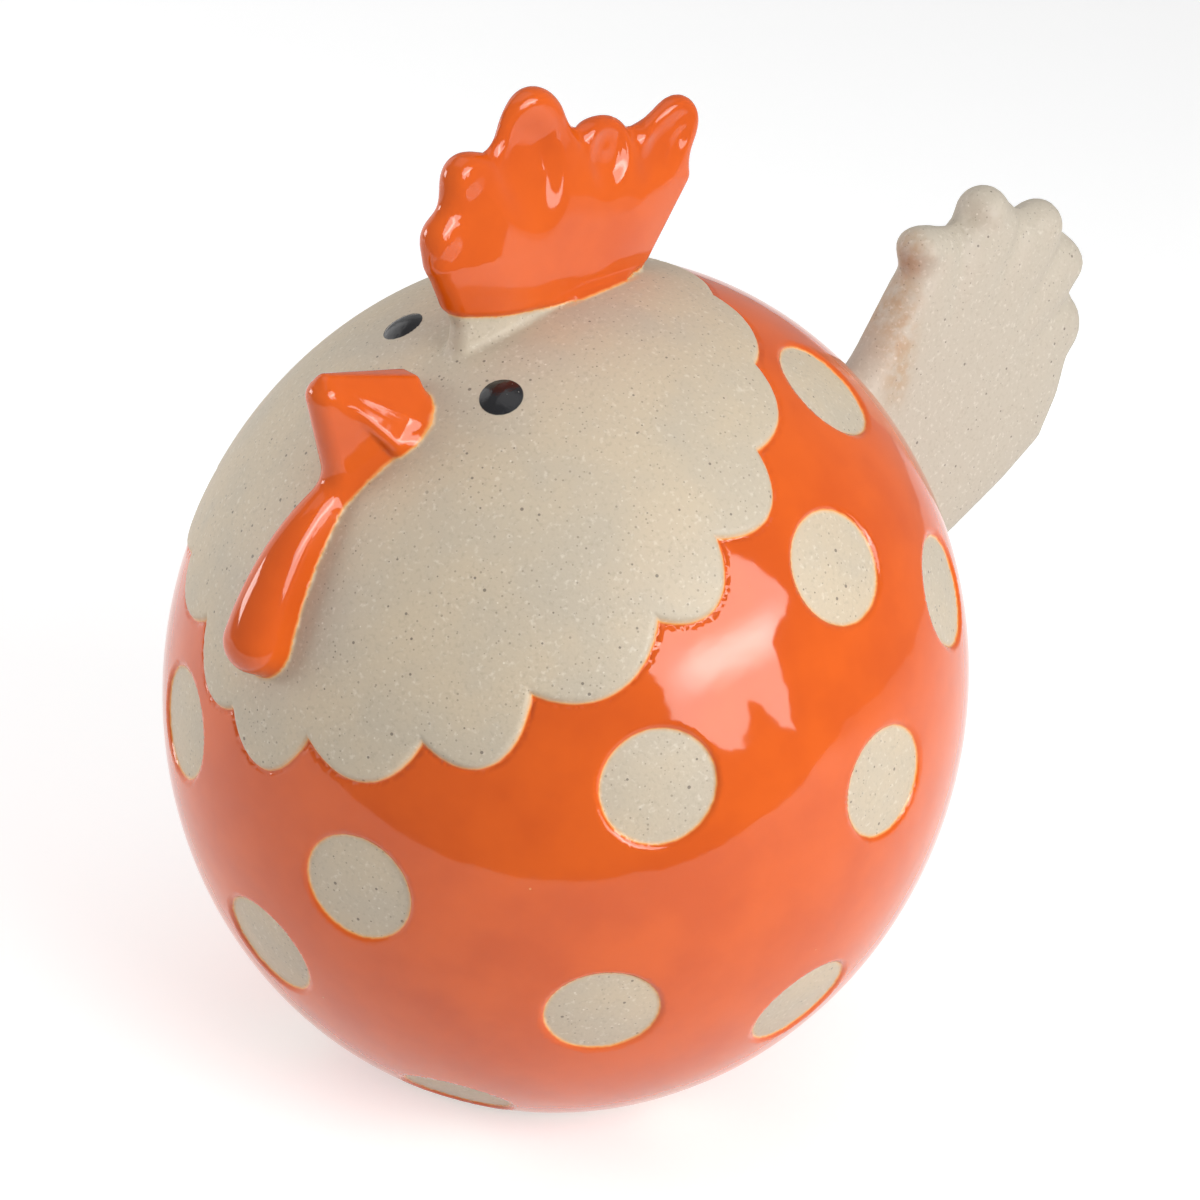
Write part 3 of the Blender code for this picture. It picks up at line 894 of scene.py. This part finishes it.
@dataclass
class Hen:
    """The whole cast piece: its features, its fine relief and its mesh."""

    body: Body = field(default_factory=Body)
    hood: Hood = field(default_factory=Hood)
    dots: Dots = field(default_factory=Dots)
    comb: Comb = field(default_factory=Comb)
    tail: Tail = field(default_factory=Tail)
    beak: Beak = field(default_factory=Beak)
    wattle: Wattle = field(default_factory=Wattle)
    eyes: Eyes = field(default_factory=Eyes)
    grid_step: float = 0.00115
    detail_edge: float = 0.0008
    rim_edge: float = 0.00042
    beak_edge: float = 0.00035
    glaze_depth: float = 0.0004
    glaze_rounding: float = 0.0007
    bare_strip: float = 0.0012
    comb_paint_line: tuple = (
        (-0.0300, 0.0436),
        (-0.0215, 0.0434),
        (-0.0171, 0.0432),
        (-0.0112, 0.0435),
        (-0.0067, 0.0441),
        (-0.0011, 0.0448),
        (0.0060, 0.0459),
    )
    paint_reach: float = 0.0009
    comb_paint_reach: float = 0.0011
    lowest_comb_paint: float = 0.036
    tail_bare_reach: float = 0.0014
    neck_fillet: float = 0.0018
    hood_reach: float = 0.0030
    middle_y: float = -0.013913
    low: tuple = (-0.0425, -0.0470, -0.0440)
    high: tuple = (0.0425, 0.0750, 0.0680)
    long_edge: float = 1.4
    evening: float = 0.5
    cast_slope_reach: float = 0.00002
    finished_slope_reach: float = 0.0001
    normal_reach: float = 0.00008

    def features(self, points: np.ndarray, coat: float) -> dict[Part, np.ndarray]:
        """Distances to comb, tail, beak and wattle, all but the tail less a coat of glaze."""
        seat = self.body.seat(self.beak.rise)
        return {
            Part.COMB: self.comb.distance(points, self.body) + coat,
            Part.TAIL: self.tail.distance(points, self.body),
            Part.BEAK: self.beak.distance(points, self.body) + coat,
            Part.WATTLE: self.wattle.distance(points, seat) + coat,
        }

    def fields(self, points: np.ndarray) -> dict[Area, np.ndarray]:
        """Distances, along the surface, in from the edge of each painted or raised area.

        Args:
            points: Places from the middle of the body.

        Returns:
            Distances by area, as its name says.
        """
        near = self.features(points, self.glaze_depth)
        even, odd = self.hood.fields(points)
        dots = self.dots.outside(points, self.body)
        dots = np.minimum(dots, points[:, 2] + self.body.foot_depth - self.bare_strip)
        dots = np.minimum(dots, near[Part.TAIL] - self.tail_bare_reach)
        backs, ups = np.array(self.comb_paint_line).T
        line = np.interp(points[:, 1], backs, ups)
        comb = np.minimum(points[:, 2] - line, self.comb_paint_reach - near[Part.COMB])
        comb = np.where(points[:, 2] < self.lowest_comb_paint, -FAR, comb)
        lower = smooth_union(near[Part.BEAK], near[Part.WATTLE], self.neck_fillet)
        lower = self.paint_reach - lower
        return {
            Area.EVEN: even,
            Area.ODD: odd,
            Area.DOTS: dots,
            Area.PAINT: np.maximum(comb, lower),
            Area.EYES: self.eyes.inside(points, self.body),
            Area.TAIL: near[Part.TAIL],
        }

    def clay_body(self, points: np.ndarray) -> np.ndarray:
        """Signed distance to the body with the hood raised on it.

        Args:
            points: Places from the middle of the body.

        Returns:
            Signed distances.
        """
        skin = self.body.shell(points)
        near = np.abs(skin) < self.hood_reach
        even, odd = self.hood.fields(points[near])
        inside = np.maximum(even, odd) + self.hood.shoulder / 4
        skin[near] -= self.hood.depth * rounded_step(inside, self.hood.shoulder)
        return skin

    def glaze(self, fields: dict[Area, np.ndarray]) -> np.ndarray:
        """Distance in from the edge of the orange glaze, from the separate fields."""
        hood = np.maximum(fields[Area.EVEN], fields[Area.ODD])
        return np.maximum(np.minimum(fields[Area.DOTS], -hood), fields[Area.PAINT])

    def cast(self, points: np.ndarray, coat: float = 0.0) -> np.ndarray:
        """Signed distance to the cast piece without its relief: all features joined by fillets.

        Args:
            points: Places from the middle of the body.
            coat: Depth of glaze to leave off comb, beak and wattle.

        Returns:
            Signed distances.
        """
        near = self.features(points, coat)
        skin = self.clay_body(points)
        skin = smooth_union(skin, near[Part.COMB], self.comb.fillet)
        skin = smooth_union(skin, near[Part.TAIL], self.tail.fillet)
        skin = smooth_union(skin, near[Part.BEAK], self.beak.fillet)
        skin = smooth_union(skin, near[Part.WATTLE], self.wattle.fillet)
        skin = self.body.flatten_foot(points, skin)
        return np.maximum(skin, -self.body.hollow(points))

    def relief(self, points: np.ndarray) -> np.ndarray:
        """Height of glaze and eyes over the clay."""
        found = self.fields(points)
        coat = self.glaze_depth * rounded_step(self.glaze(found), self.glaze_rounding)
        eyes = self.eyes.dome * rounded_step(found[Area.EYES], self.eyes.radius)
        outer = np.where(self.body.hollow(points) < self.body.wall / 2, 0, 1)
        return (coat + eyes) * outer

    def finished(self, points: np.ndarray) -> np.ndarray:
        """Signed distance to the finished surface, relief included."""
        return self.cast(points, self.glaze_depth) - self.relief(points)

    def skin(self) -> Skin:
        """The finished surface as triangles, fine where there is detail.

        Returns:
            The skin, from the middle of the body.
        """
        skin = skin_of(self.cast, np.array(self.low), np.array(self.high), self.grid_step)
        LOG.info("grid skin: %d triangles", len(skin.triangles))
        skin.points = settle(self.cast, skin.points, 3, self.cast_slope_reach)
        twice = [self.detail_edge] * 2 + [self.rim_edge] * 2
        for limit in (*twice, self.beak_edge):
            self.refine(skin, limit)
            LOG.info("split to %.2f mm: %d triangles", limit / MM, len(skin.triangles))
            skin.points = settle(self.cast, skin.points, 1, self.cast_slope_reach)
        skin.relax(self.evening)
        skin.points = settle(self.cast, skin.points, 2, self.cast_slope_reach)
        skin.points = settle(self.finished, skin.points, 4, self.finished_slope_reach)
        LOG.info("finished skin: %d triangles", len(skin.triangles))
        return skin

    def refine(self, skin: Skin, limit: float) -> None:
        """Split the long edges on the features, or at the edge of hood, glaze or eyes.

        Args:
            skin: The skin to split.
            limit: Length that an edge may have; which one it is says where edges are split.
        """
        edges, of_triangle = skin.edges()
        ends = skin.points[edges]
        length = np.linalg.norm(ends[:, 0] - ends[:, 1], axis=1)
        middles = ends.mean(axis=1)
        near = self.features(middles, 0.0)
        if limit == self.detail_edge:
            close = np.min(list(near.values()), axis=0) < MM
        elif limit == self.rim_edge:
            found = self.fields(middles)
            edge = np.minimum(np.abs(self.glaze(found)), np.abs(found[Area.EYES]))
            close = edge < self.glaze_rounding + length / 2
            close |= np.minimum(near[Part.COMB], near[Part.BEAK]) < MM / 2
        else:
            close = near[Part.BEAK] < MM / 4
        close &= self.body.hollow(middles) > self.body.wall / 2
        skin.split(close & (length > self.long_edge * limit), edges, of_triangle)

    def build(self) -> bpy.types.Object:
        """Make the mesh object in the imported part's frame, with a float attribute for each field.

        Returns:
            The object.
        """
        skin = self.skin()
        fields = self.fields(skin.points)
        middle = np.array([0, self.middle_y, self.body.foot_depth])
        count = len(skin.triangles)
        mesh = bpy.data.meshes.new("hen_skin")
        mesh.vertices.add(len(skin.points))
        mesh.vertices.foreach_set("co", (skin.points + middle).astype(np.float32).ravel())
        mesh.loops.add(3 * count)
        mesh.loops.foreach_set("vertex_index", skin.triangles.astype(np.int32).ravel())
        mesh.polygons.add(count)
        mesh.polygons.foreach_set("loop_start", np.arange(0, 3 * count, 3, dtype=np.int32))
        mesh.polygons.foreach_set("use_smooth", np.ones(count, dtype=bool))
        mesh.update(calc_edges=True)
        for area, values in fields.items():
            layer = mesh.attributes.new(area.value, "FLOAT", "POINT")
            layer.data.foreach_set("value", (values / MM).astype(np.float32))
        slope = gradient(self.finished, skin.points, self.normal_reach)
        slope /= np.linalg.norm(slope, axis=1, keepdims=True)
        mesh.normals_split_custom_set_from_vertices(slope.astype(np.float32))
        piece = bpy.data.objects.new("hen_skin", mesh)
        bpy.context.scene.collection.objects.link(piece)
        return piece


class Socket:
    """An output socket that takes part in sums: each operator adds a Math node."""

    def __init__(self, graph: "Graph", socket: bpy.types.NodeSocket) -> None:
        """Keep the socket and its graph."""
        self.graph = graph
        self.socket = socket

    def math(self, operation: str, *values: object, clamp: bool = False) -> "Socket":
        """Add a Math node that starts with this socket.

        Args:
            operation: The Math node's operation.
            values: Its other values, sockets or numbers.
            clamp: Whether the result is kept between 0 and 1.

        Returns:
            The node's output.
        """
        settings = {"operation": operation, "use_clamp": clamp}
        inputs = dict(enumerate((self, *values)))
        return self.graph.node("ShaderNodeMath", settings, inputs)

    def __add__(self, other: object) -> "Socket":
        """This plus the other."""
        return self.math("ADD", other)

    __radd__ = __add__

    def __mul__(self, other: object) -> "Socket":
        """This times the other."""
        return self.math("MULTIPLY", other)

    __rmul__ = __mul__

    def __sub__(self, other: object) -> "Socket":
        """This less the other."""
        return self.math("SUBTRACT", other)

    def __rsub__(self, other: float) -> "Socket":
        """The other less this."""
        return self.math("MULTIPLY", -1.0).math("ADD", other)

    def __truediv__(self, other: object) -> "Socket":
        """This over the other."""
        return self.math("DIVIDE", other)

    def least(self, other: object) -> "Socket":
        """The lesser of the two."""
        return self.math("MINIMUM", other)

    def most(self, other: object) -> "Socket":
        """The greater of the two."""
        return self.math("MAXIMUM", other)

    def rise(self, start: float, end: float) -> "Socket":
        """Smooth step from 0 at the start to 1 at the end, or the reverse if start is greater."""
        low, high = min(start, end), max(start, end)
        ends = (0.0, 1.0) if start < end else (1.0, 0.0)
        settings = {"interpolation_type": "SMOOTHSTEP"}
        inputs = {"Value": self, "From Min": low, "From Max": high}
        inputs |= {"To Min": ends[0], "To Max": ends[1]}
        return self.graph.node("ShaderNodeMapRange", settings, inputs)

    def bell(self, middle: float, width: float) -> "Socket":
        """1 at the middle, falling to 0 a width away."""
        return (self - middle).math("ABSOLUTE").rise(width, 0.0)


class Graph:
    """A material's or world's nodes, made by one method."""

    def __init__(self, tree: bpy.types.NodeTree) -> None:
        """Start from an empty tree."""
        self.tree = tree
        tree.nodes.clear()

    def node(self, kind: str, settings: dict, inputs: dict, output: object = 0) -> Socket | None:
        """Add a node.

        Args:
            kind: The node's type.
            settings: Its properties, set before its sockets.
            inputs: Values or sockets, by name or number of the input.
            output: Name or number of the output to return.

        Returns:
            The output socket, or None from a node that has none.
        """
        node = self.tree.nodes.new(kind)
        for name, value in settings.items():
            setattr(node, name, value)
        for key, value in inputs.items():
            socket = node.inputs[key]
            if isinstance(value, Socket):
                self.tree.links.new(value.socket, socket)
            elif socket.type == "RGBA":
                socket.default_value = (*value, 1.0)
            else:
                socket.default_value = value
        return Socket(self, node.outputs[output]) if node.outputs else None

    def area(self, area: Area) -> Socket:
        """Distance into an area in millimetres, from the piece's attribute."""
        settings = {"attribute_type": "GEOMETRY", "attribute_name": area.value}
        return self.node("ShaderNodeAttribute", settings, {}, "Fac")

    def noise(self, place: Socket, size: float, detail: float = 2.0, slice_at: float = 0.0) -> Socket:
        """Noise from 0 to 1 with features of a size in metres; each slice is another pattern."""
        inputs = {"Vector": place, "W": slice_at, "Scale": 1 / size, "Detail": detail}
        return self.node("ShaderNodeTexNoise", {"noise_dimensions": "4D"}, inputs, "Fac")

    def grains(self, place: Socket, size: float, radius: float, share: float) -> Socket:
        """Round grains: 1 in each, 0 between them.

        Each cell of a Voronoi pattern holds one grain, a share of the cells has one, and its
        size differs from cell to cell.

        Args:
            place: Coordinates.
            size: Size of a cell in metres.
            radius: Radius of the greatest grain, as a share of the cell.
            share: Share of the cells that has a grain.

        Returns:
            The mask.
        """
        inputs = {"Vector": place, "Scale": 1 / size, "Randomness": 1.0}
        distance = self.node("ShaderNodeTexVoronoi", {"feature": "F1"}, inputs, "Distance")
        colour = self.node("ShaderNodeTexVoronoi", {"feature": "F1"}, inputs, "Color")
        pick = self.node("ShaderNodeSeparateColor", {}, {"Color": colour}, "Red")
        scale = self.node("ShaderNodeSeparateColor", {}, {"Color": colour}, "Green")
        edge = distance / (scale * (0.6 * radius) + 0.4 * radius)
        return edge.rise(1.15, 0.75) * pick.rise(share + 0.02, share - 0.02)

    def mix(self, mask: object, one: object, other: object) -> Socket:
        """Colour that goes from one to the other with the mask."""
        return self.node("ShaderNodeMix", {"data_type": "RGBA"}, {0: mask, 6: one, 7: other}, 2)

    def bump(self, height: Socket) -> Socket:
        """Normal of a surface raised by a height in metres."""
        inputs = {"Height": height, "Distance": 1.0, "Strength": 1.0}
        return self.node("ShaderNodeBump", {}, inputs)


@dataclass(frozen=True)
class FiredFinish:
    """Speckled stoneware clay, bare, under orange glaze and under black, as one material.

    Sizes are metres. Grains of a kind are (cell that may hold one, radius of the greatest as a
    share of the cell, share of the cells that has one).
    """

    clay_warm: tuple = (0.575, 0.475, 0.345)
    clay_cool: tuple = (0.515, 0.445, 0.345)
    clay_of_tail: tuple = (0.515, 0.455, 0.370)
    # Brown of the painted shade down the tail's front ridge.
    ridge_shade: tuple = (0.44, 0.27, 0.14)
    # Colour of the clay's fine grain, and of the painted grey shade on the tail.
    grain_and_shade: tuple = (0.36, 0.30, 0.22)
    speck: tuple = (0.13, 0.10, 0.08)
    sparkle: tuple = (0.92, 0.88, 0.80)
    orange: tuple = (0.70, 0.105, 0.005)
    orange_deep: tuple = (0.62, 0.085, 0.004)
    orange_thin: tuple = (0.85, 0.42, 0.12)
    black: tuple = (0.010, 0.010, 0.012)
    clay_patch: float = 0.010
    clay_grain: float = 0.00042
    clay_light: float = 0.00050
    dust: tuple = (0.00065, 0.19, 0.85)
    specks: tuple = (0.0015, 0.13, 0.80)
    sparkles: tuple = (0.0013, 0.09, 0.50)
    clay_pit: float = 0.0005
    clay_pit_depth: float = 0.00004
    tail_lean: float = 0.074
    tail_front: float = 0.0216
    front_width: float = 0.0030
    front_rise: tuple = (0.064, 0.070)
    # Place and size of the painted grey shade on the tail, then the mottling of both painted shades.
    notch_shade_place: tuple = (0.0366, 0.0850)
    notch_shade_size: tuple = (0.0035, 0.0040)
    shade_patch: float = 0.0016
    glaze_patch: float = 0.009
    pinholes: tuple = (0.0035, 0.05, 0.18)
    glaze_wave: float = 0.004
    glaze_wave_height: float = 0.00004
    pinhole_depth: float = 0.00003
    edge_wander: float = 0.0011
    edge_wander_mm: float = 0.16
    flecks: tuple = (0.0006, 0.16, 0.30)
    eye_pit: float = 0.0006
    eye_pit_depth: float = 0.00005

    def material(self) -> bpy.types.Material:
        """Make the material.

        Returns:
            The material, which reads the piece's own attributes.
        """
        material = bpy.data.materials.new("fired_stoneware")
        material.use_nodes = True
        graph = Graph(material.node_tree)
        place = graph.node("ShaderNodeTexCoord", {}, {}, "Object")
        hood = graph.area(Area.EVEN).most(graph.area(Area.ODD))
        open_part = graph.area(Area.DOTS).least(hood * -1.0)
        glaze = open_part.most(graph.area(Area.PAINT))
        glaze = glaze + (graph.noise(place, self.edge_wander) - 0.5) * self.edge_wander_mm
        eyes = graph.area(Area.EYES)
        clay = self.clay_shader(graph, place, glaze)
        orange = self.glaze_shader(graph, place, glaze)
        black = self.eye_shader(graph, place)
        coated = {0: glaze.rise(-0.04, 0.04), 1: clay, 2: orange}
        fired = graph.node("ShaderNodeMixShader", {}, coated)
        painted = {0: eyes.rise(-0.05, 0.05), 1: fired, 2: black}
        fired = graph.node("ShaderNodeMixShader", {}, painted)
        graph.node("ShaderNodeOutputMaterial", {}, {"Surface": fired})
        return material

    def clay_shader(self, graph: Graph, place: Socket, glaze: Socket) -> Socket:
        """Bare clay: warm and cool patches, fine grain, dark specks and light sparkles.

        Args:
            graph: The material's nodes.
            place: Object coordinates.
            glaze: Distance into the glaze in millimetres.

        Returns:
            The shader.
        """
        patches = graph.noise(place, self.clay_patch, 3.0)
        colour = graph.mix(patches.rise(0.35, 0.65), self.clay_cool, self.clay_warm)
        # The tail's own tone, with painted shade down its front ridge and between two of its lobes.
        colour = self.tail_tone_and_shade(graph, place, colour)
        fine = graph.noise(place, self.clay_grain, 3.0)
        colour = graph.mix(fine.rise(0.50, 0.72) * 0.30, colour, self.grain_and_shade)
        light = graph.noise(place, self.clay_light, 2.0, 7.0)
        colour = graph.mix(light.rise(0.55, 0.75) * 0.25, colour, self.sparkle)
        dust = graph.grains(place, *self.dust)
        colour = graph.mix(dust * 0.45, colour, self.speck)
        specks = graph.grains(place, *self.specks)
        colour = graph.mix(specks * 0.75, colour, self.speck)
        sparkles = graph.grains(place, *self.sparkles)
        colour = graph.mix(sparkles * 0.40, colour, self.sparkle)
        rim = glaze.rise(-0.35, 0.0)
        colour = graph.mix(rim * 0.4, colour, self.orange_thin)
        height = graph.noise(place, self.clay_pit, 3.0) * self.clay_pit_depth
        inputs = {"Base Color": colour, "Roughness": 0.5, "Normal": graph.bump(height)}
        return graph.node("ShaderNodeBsdfPrincipled", {}, inputs)

    def tail_tone_and_shade(self, graph: Graph, place: Socket, clay: Socket) -> Socket:
        """Lighter clay on the tail, and painted shade: brown down its front ridge, grey between two
        lobes.

        Args:
            graph: The material's nodes.
            place: Object coordinates.
            clay: Colour of the clay elsewhere.

        Returns:
            The colour with the marks.
        """
        tail = graph.area(Area.TAIL).rise(3.0, 0.5)
        colour = graph.mix(tail, clay, self.clay_of_tail)
        back = graph.node("ShaderNodeSeparateXYZ", {}, {"Vector": place}, "Y")
        up = graph.node("ShaderNodeSeparateXYZ", {}, {"Vector": place}, "Z")
        # Painted shade: mottled brown down the tail's front ridge.
        ridge = (back - up * self.tail_lean).bell(self.tail_front, self.front_width)
        ridge = ridge * up.rise(*self.front_rise)
        # Painted shade: grey between the tail's first two lobes.
        notch_shade = back.bell(self.notch_shade_place[0], self.notch_shade_size[0])
        notch_shade = notch_shade * up.bell(self.notch_shade_place[1], self.notch_shade_size[1])
        mottled = graph.noise(place, self.shade_patch, 4.0, 3.0).rise(0.30, 0.62)
        colour = graph.mix(tail * mottled * ridge * 0.75, colour, self.ridge_shade)
        return graph.mix(tail * mottled * notch_shade * 0.45, colour, self.grain_and_shade)

    def glaze_shader(self, graph: Graph, place: Socket, glaze: Socket) -> Socket:
        """Orange glaze: mottled, thin and light at its edges, with a few pinholes.

        Args:
            graph: The material's nodes.
            place: Object coordinates.
            glaze: Distance into the glaze in millimetres.

        Returns:
            The shader.
        """
        patches = graph.noise(place, self.glaze_patch, 3.0)
        colour = graph.mix(patches.rise(0.35, 0.7), self.orange, self.orange_deep)
        colour = graph.mix(glaze.rise(0.22, 0.0) * 0.85, colour, self.orange_thin)
        pinholes = graph.grains(place, *self.pinholes)
        colour = graph.mix(pinholes * 0.5, colour, self.orange_thin)
        wave = graph.noise(place, self.glaze_wave, 2.0) * self.glaze_wave_height
        normal = graph.bump(wave - pinholes * self.pinhole_depth)
        inputs = {"Base Color": colour, "Roughness": 0.06, "IOR": 1.5, "Normal": normal}
        return graph.node("ShaderNodeBsdfPrincipled", {}, inputs)

    def eye_shader(self, graph: Graph, place: Socket) -> Socket:
        """Black glaze with fine grey flecks.

        Args:
            graph: The material's nodes.
            place: Object coordinates.

        Returns:
            The shader.
        """
        flecks = graph.grains(place, *self.flecks)
        colour = graph.mix(flecks * 0.25, self.black, self.sparkle)
        height = graph.noise(place, self.eye_pit, 2.0) * self.eye_pit_depth
        inputs = {"Base Color": colour, "Roughness": 0.18, "Normal": graph.bump(height)}
        return graph.node("ShaderNodeBsdfPrincipled", {}, inputs)


@dataclass(frozen=True)
class Softbox:
    """A rectangular light.

    Its way is degrees from the front towards the hen's left and degrees up. It stands away from
    the middle of the body, its size is width and height, and its power is radiant.
    """

    name: str
    way: tuple
    away: float
    size: tuple
    power: float


@dataclass(frozen=True)
class Studio:
    """White table, softboxes, and the camera at the photograph's place."""

    azimuth: float = 44.745
    elevation: float = 23.462
    roll: float = 7.039
    distance: float = 9.0008
    unit: float = 0.040
    shift_x: float = -0.0846
    shift_y: float = -0.2162
    focal_pixels: float = 3516.5
    frame_pixels: float = 1200
    sensor: float = 36.0
    softboxes: tuple = (
        Softbox("softbox_right", (-45, 13), 0.55, (0.22, 0.14), 0.8),
        Softbox("softbox_far", (-80, 22), 0.70, (0.50, 0.60), 0.8),
        Softbox("softbox_top", (20, 80), 0.60, (0.50, 0.50), 0.5),
    )
    ambient: float = 0.42
    table: tuple = ((0.12, -1), (0.12, 1), (-1.6, 1.6), (-1.6, -1.6))
    table_white: tuple = (0.74, 0.74, 0.74)
    table_glow: float = 0.48
    panel: tuple = (
        (0.020, 0.205),
        (-0.060, 0.180),
        (-0.115, 0.135),
        (-0.160, 0.085),
        (-0.180, 0.052),
        (-0.105, -0.020),
        (-0.118, -0.090),
        (-0.150, -0.200),
        (-0.105, -0.185),
        (-0.052, -0.125),
        (-0.020, -0.105),
        (-0.004, -0.205),
        (0.034, -0.212),
        (0.110, -0.165),
        (0.172, -0.115),
        (0.186, -0.045),
        (0.240, 0.035),
        (0.150, 0.195),
    )
    panel_way: tuple = (96.0, 23.5)
    panel_away: float = 0.50
    panel_glow: float = 5.4
    band_glow: float = 13.0
    band_slope: float = -0.12
    band_height: float = -0.010
    band_width: float = 0.065
    band_reach: float = 0.20

    def frame_of_view(self) -> np.ndarray:
        """Rows: the camera's right, up and backward directions."""
        azimuth, elevation, roll = np.radians([self.azimuth, self.elevation, self.roll])
        back = direction(self.azimuth, self.elevation)
        right = np.array([np.cos(azimuth), np.sin(azimuth), 0])
        up = np.cross(back, right)
        turned_right = np.cos(roll) * right + np.sin(roll) * up
        turned_up = np.cos(roll) * up - np.sin(roll) * right
        return np.stack([turned_right, turned_up, back])

    def add_camera(self, middle: np.ndarray) -> None:
        """Put the camera at its distance from the middle of the body, turned as the photograph."""
        data = bpy.data.cameras.new("camera")
        data.lens = self.focal_pixels / self.frame_pixels * self.sensor
        data.sensor_width = self.sensor
        data.clip_start = 0.01
        camera = bpy.data.objects.new("camera", data)
        rows = self.frame_of_view()
        offset = rows.T @ np.array([-self.shift_x, -self.shift_y, self.distance]) * self.unit
        place = Matrix.Translation(Vector(middle + offset))
        camera.matrix_world = place @ Matrix(rows.T.tolist()).to_4x4()
        bpy.context.scene.collection.objects.link(camera)
        bpy.context.scene.camera = camera

    def add_softbox(self, box: Softbox, middle: np.ndarray) -> None:
        """Put up a softbox that faces the figurine.

        Args:
            box: The softbox.
            middle: The middle of the body.
        """
        data = bpy.data.lights.new(box.name, "AREA")
        data.shape = "RECTANGLE"
        data.size, data.size_y = box.size
        data.energy = box.power
        light = bpy.data.objects.new(box.name, data)
        toward = direction(*box.way)
        light.location = Vector(middle + toward * box.away)
        light.rotation_euler = Vector(toward).to_track_quat("Z", "Y").to_euler()
        bpy.context.scene.collection.objects.link(light)

    def build(self, middle: np.ndarray) -> None:
        """Set up table, lights, world and camera.

        Args:
            middle: The middle of the body.
        """
        self.add_camera(middle)
        self.add_table()
        self.add_shaped_softbox(middle)
        for box in self.softboxes:
            self.add_softbox(box, middle)
        world = bpy.data.worlds.new("studio")
        world.use_nodes = True
        graph = Graph(world.node_tree)
        inputs = {"Color": (1.0, 1.0, 1.0), "Strength": self.ambient}
        ambient = graph.node("ShaderNodeBackground", {}, inputs)
        graph.node("ShaderNodeOutputWorld", {}, {"Surface": ambient})
        bpy.context.scene.world = world
        bpy.context.scene.view_settings.view_transform = "Standard"

    def add_shaped_softbox(self, middle: np.ndarray) -> None:
        """The softbox that shows in the glaze: a glowing panel with two legs and a hot band.

        Args:
            middle: The middle of the body.
        """
        mesh = bpy.data.meshes.new("softbox_left")
        outline = [(across, up, 0.0) for across, up in self.panel]
        mesh.from_pydata(outline, [], [tuple(range(len(outline)))])
        panel = bpy.data.objects.new("softbox_left", mesh)
        toward = direction(*self.panel_way)
        panel.location = Vector(middle + toward * self.panel_away)
        panel.rotation_euler = Vector(-toward).to_track_quat("Z", "Y").to_euler()
        material = bpy.data.materials.new("softbox_cloth")
        material.use_nodes = True
        graph = Graph(material.node_tree)
        place = graph.node("ShaderNodeTexCoord", {}, {}, "Object")
        across = graph.node("ShaderNodeSeparateXYZ", {}, {"Vector": place}, "X")
        up = graph.node("ShaderNodeSeparateXYZ", {}, {"Vector": place}, "Y")
        off = up - across * self.band_slope - self.band_height
        band = off.math("ABSOLUTE").rise(self.band_width, 0.0)
        end = across.math("ABSOLUTE").rise(self.band_reach, self.band_reach / 3)
        glow = band * end * (self.band_glow - self.panel_glow) + self.panel_glow
        shader = graph.node("ShaderNodeEmission", {}, {"Strength": glow})
        graph.node("ShaderNodeOutputMaterial", {}, {"Surface": shader})
        mesh.materials.append(material)
        bpy.context.scene.collection.objects.link(panel)

    def add_table(self) -> None:
        """The white table: its near edge is close in front, as the glaze's reflection shows."""
        back = direction(self.azimuth, 0)
        side = np.array([-back[1], back[0], 0])
        corners = [back * near + side * wide for near, wide in self.table]
        mesh = bpy.data.meshes.new("table")
        mesh.from_pydata([tuple(corner) for corner in corners], [], [(0, 1, 2, 3)])
        if mesh.polygons[0].normal.z < 0:
            mesh.flip_normals()
        table = bpy.data.objects.new("table", mesh)
        material = bpy.data.materials.new("table_white")
        material.use_nodes = True
        graph = Graph(material.node_tree)
        inputs = {"Base Color": self.table_white, "Roughness": 0.9}
        surface = graph.node("ShaderNodeBsdfPrincipled", {}, inputs)
        seen = [graph.node("ShaderNodeLightPath", {}, {}, f"Is {ray} Ray") for ray in SEEN_BY]
        glow = (seen[0] + seen[1] + seen[2]) * self.table_glow
        glow = graph.node("ShaderNodeEmission", {}, {"Strength": glow})
        both = graph.node("ShaderNodeAddShader", {}, {0: surface, 1: glow})
        graph.node("ShaderNodeOutputMaterial", {}, {"Surface": both})
        mesh.materials.append(material)
        bpy.context.scene.collection.objects.link(table)


def main() -> None:
    """Build the hen and the studio in order."""
    logging.basicConfig(level=logging.INFO, format="%(name)s: %(message)s")
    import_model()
    hen = Hen()
    piece = hen.build()
    piece.data.materials.append(FiredFinish().material())
    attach(piece, "root")
    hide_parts(NODE)
    LOG.info("%s: %d triangles", piece.name, len(piece.data.polygons))
    middle = np.array([0, hen.middle_y, hen.body.foot_depth])
    Studio().build(middle)


if __name__ == "__main__":
    main()
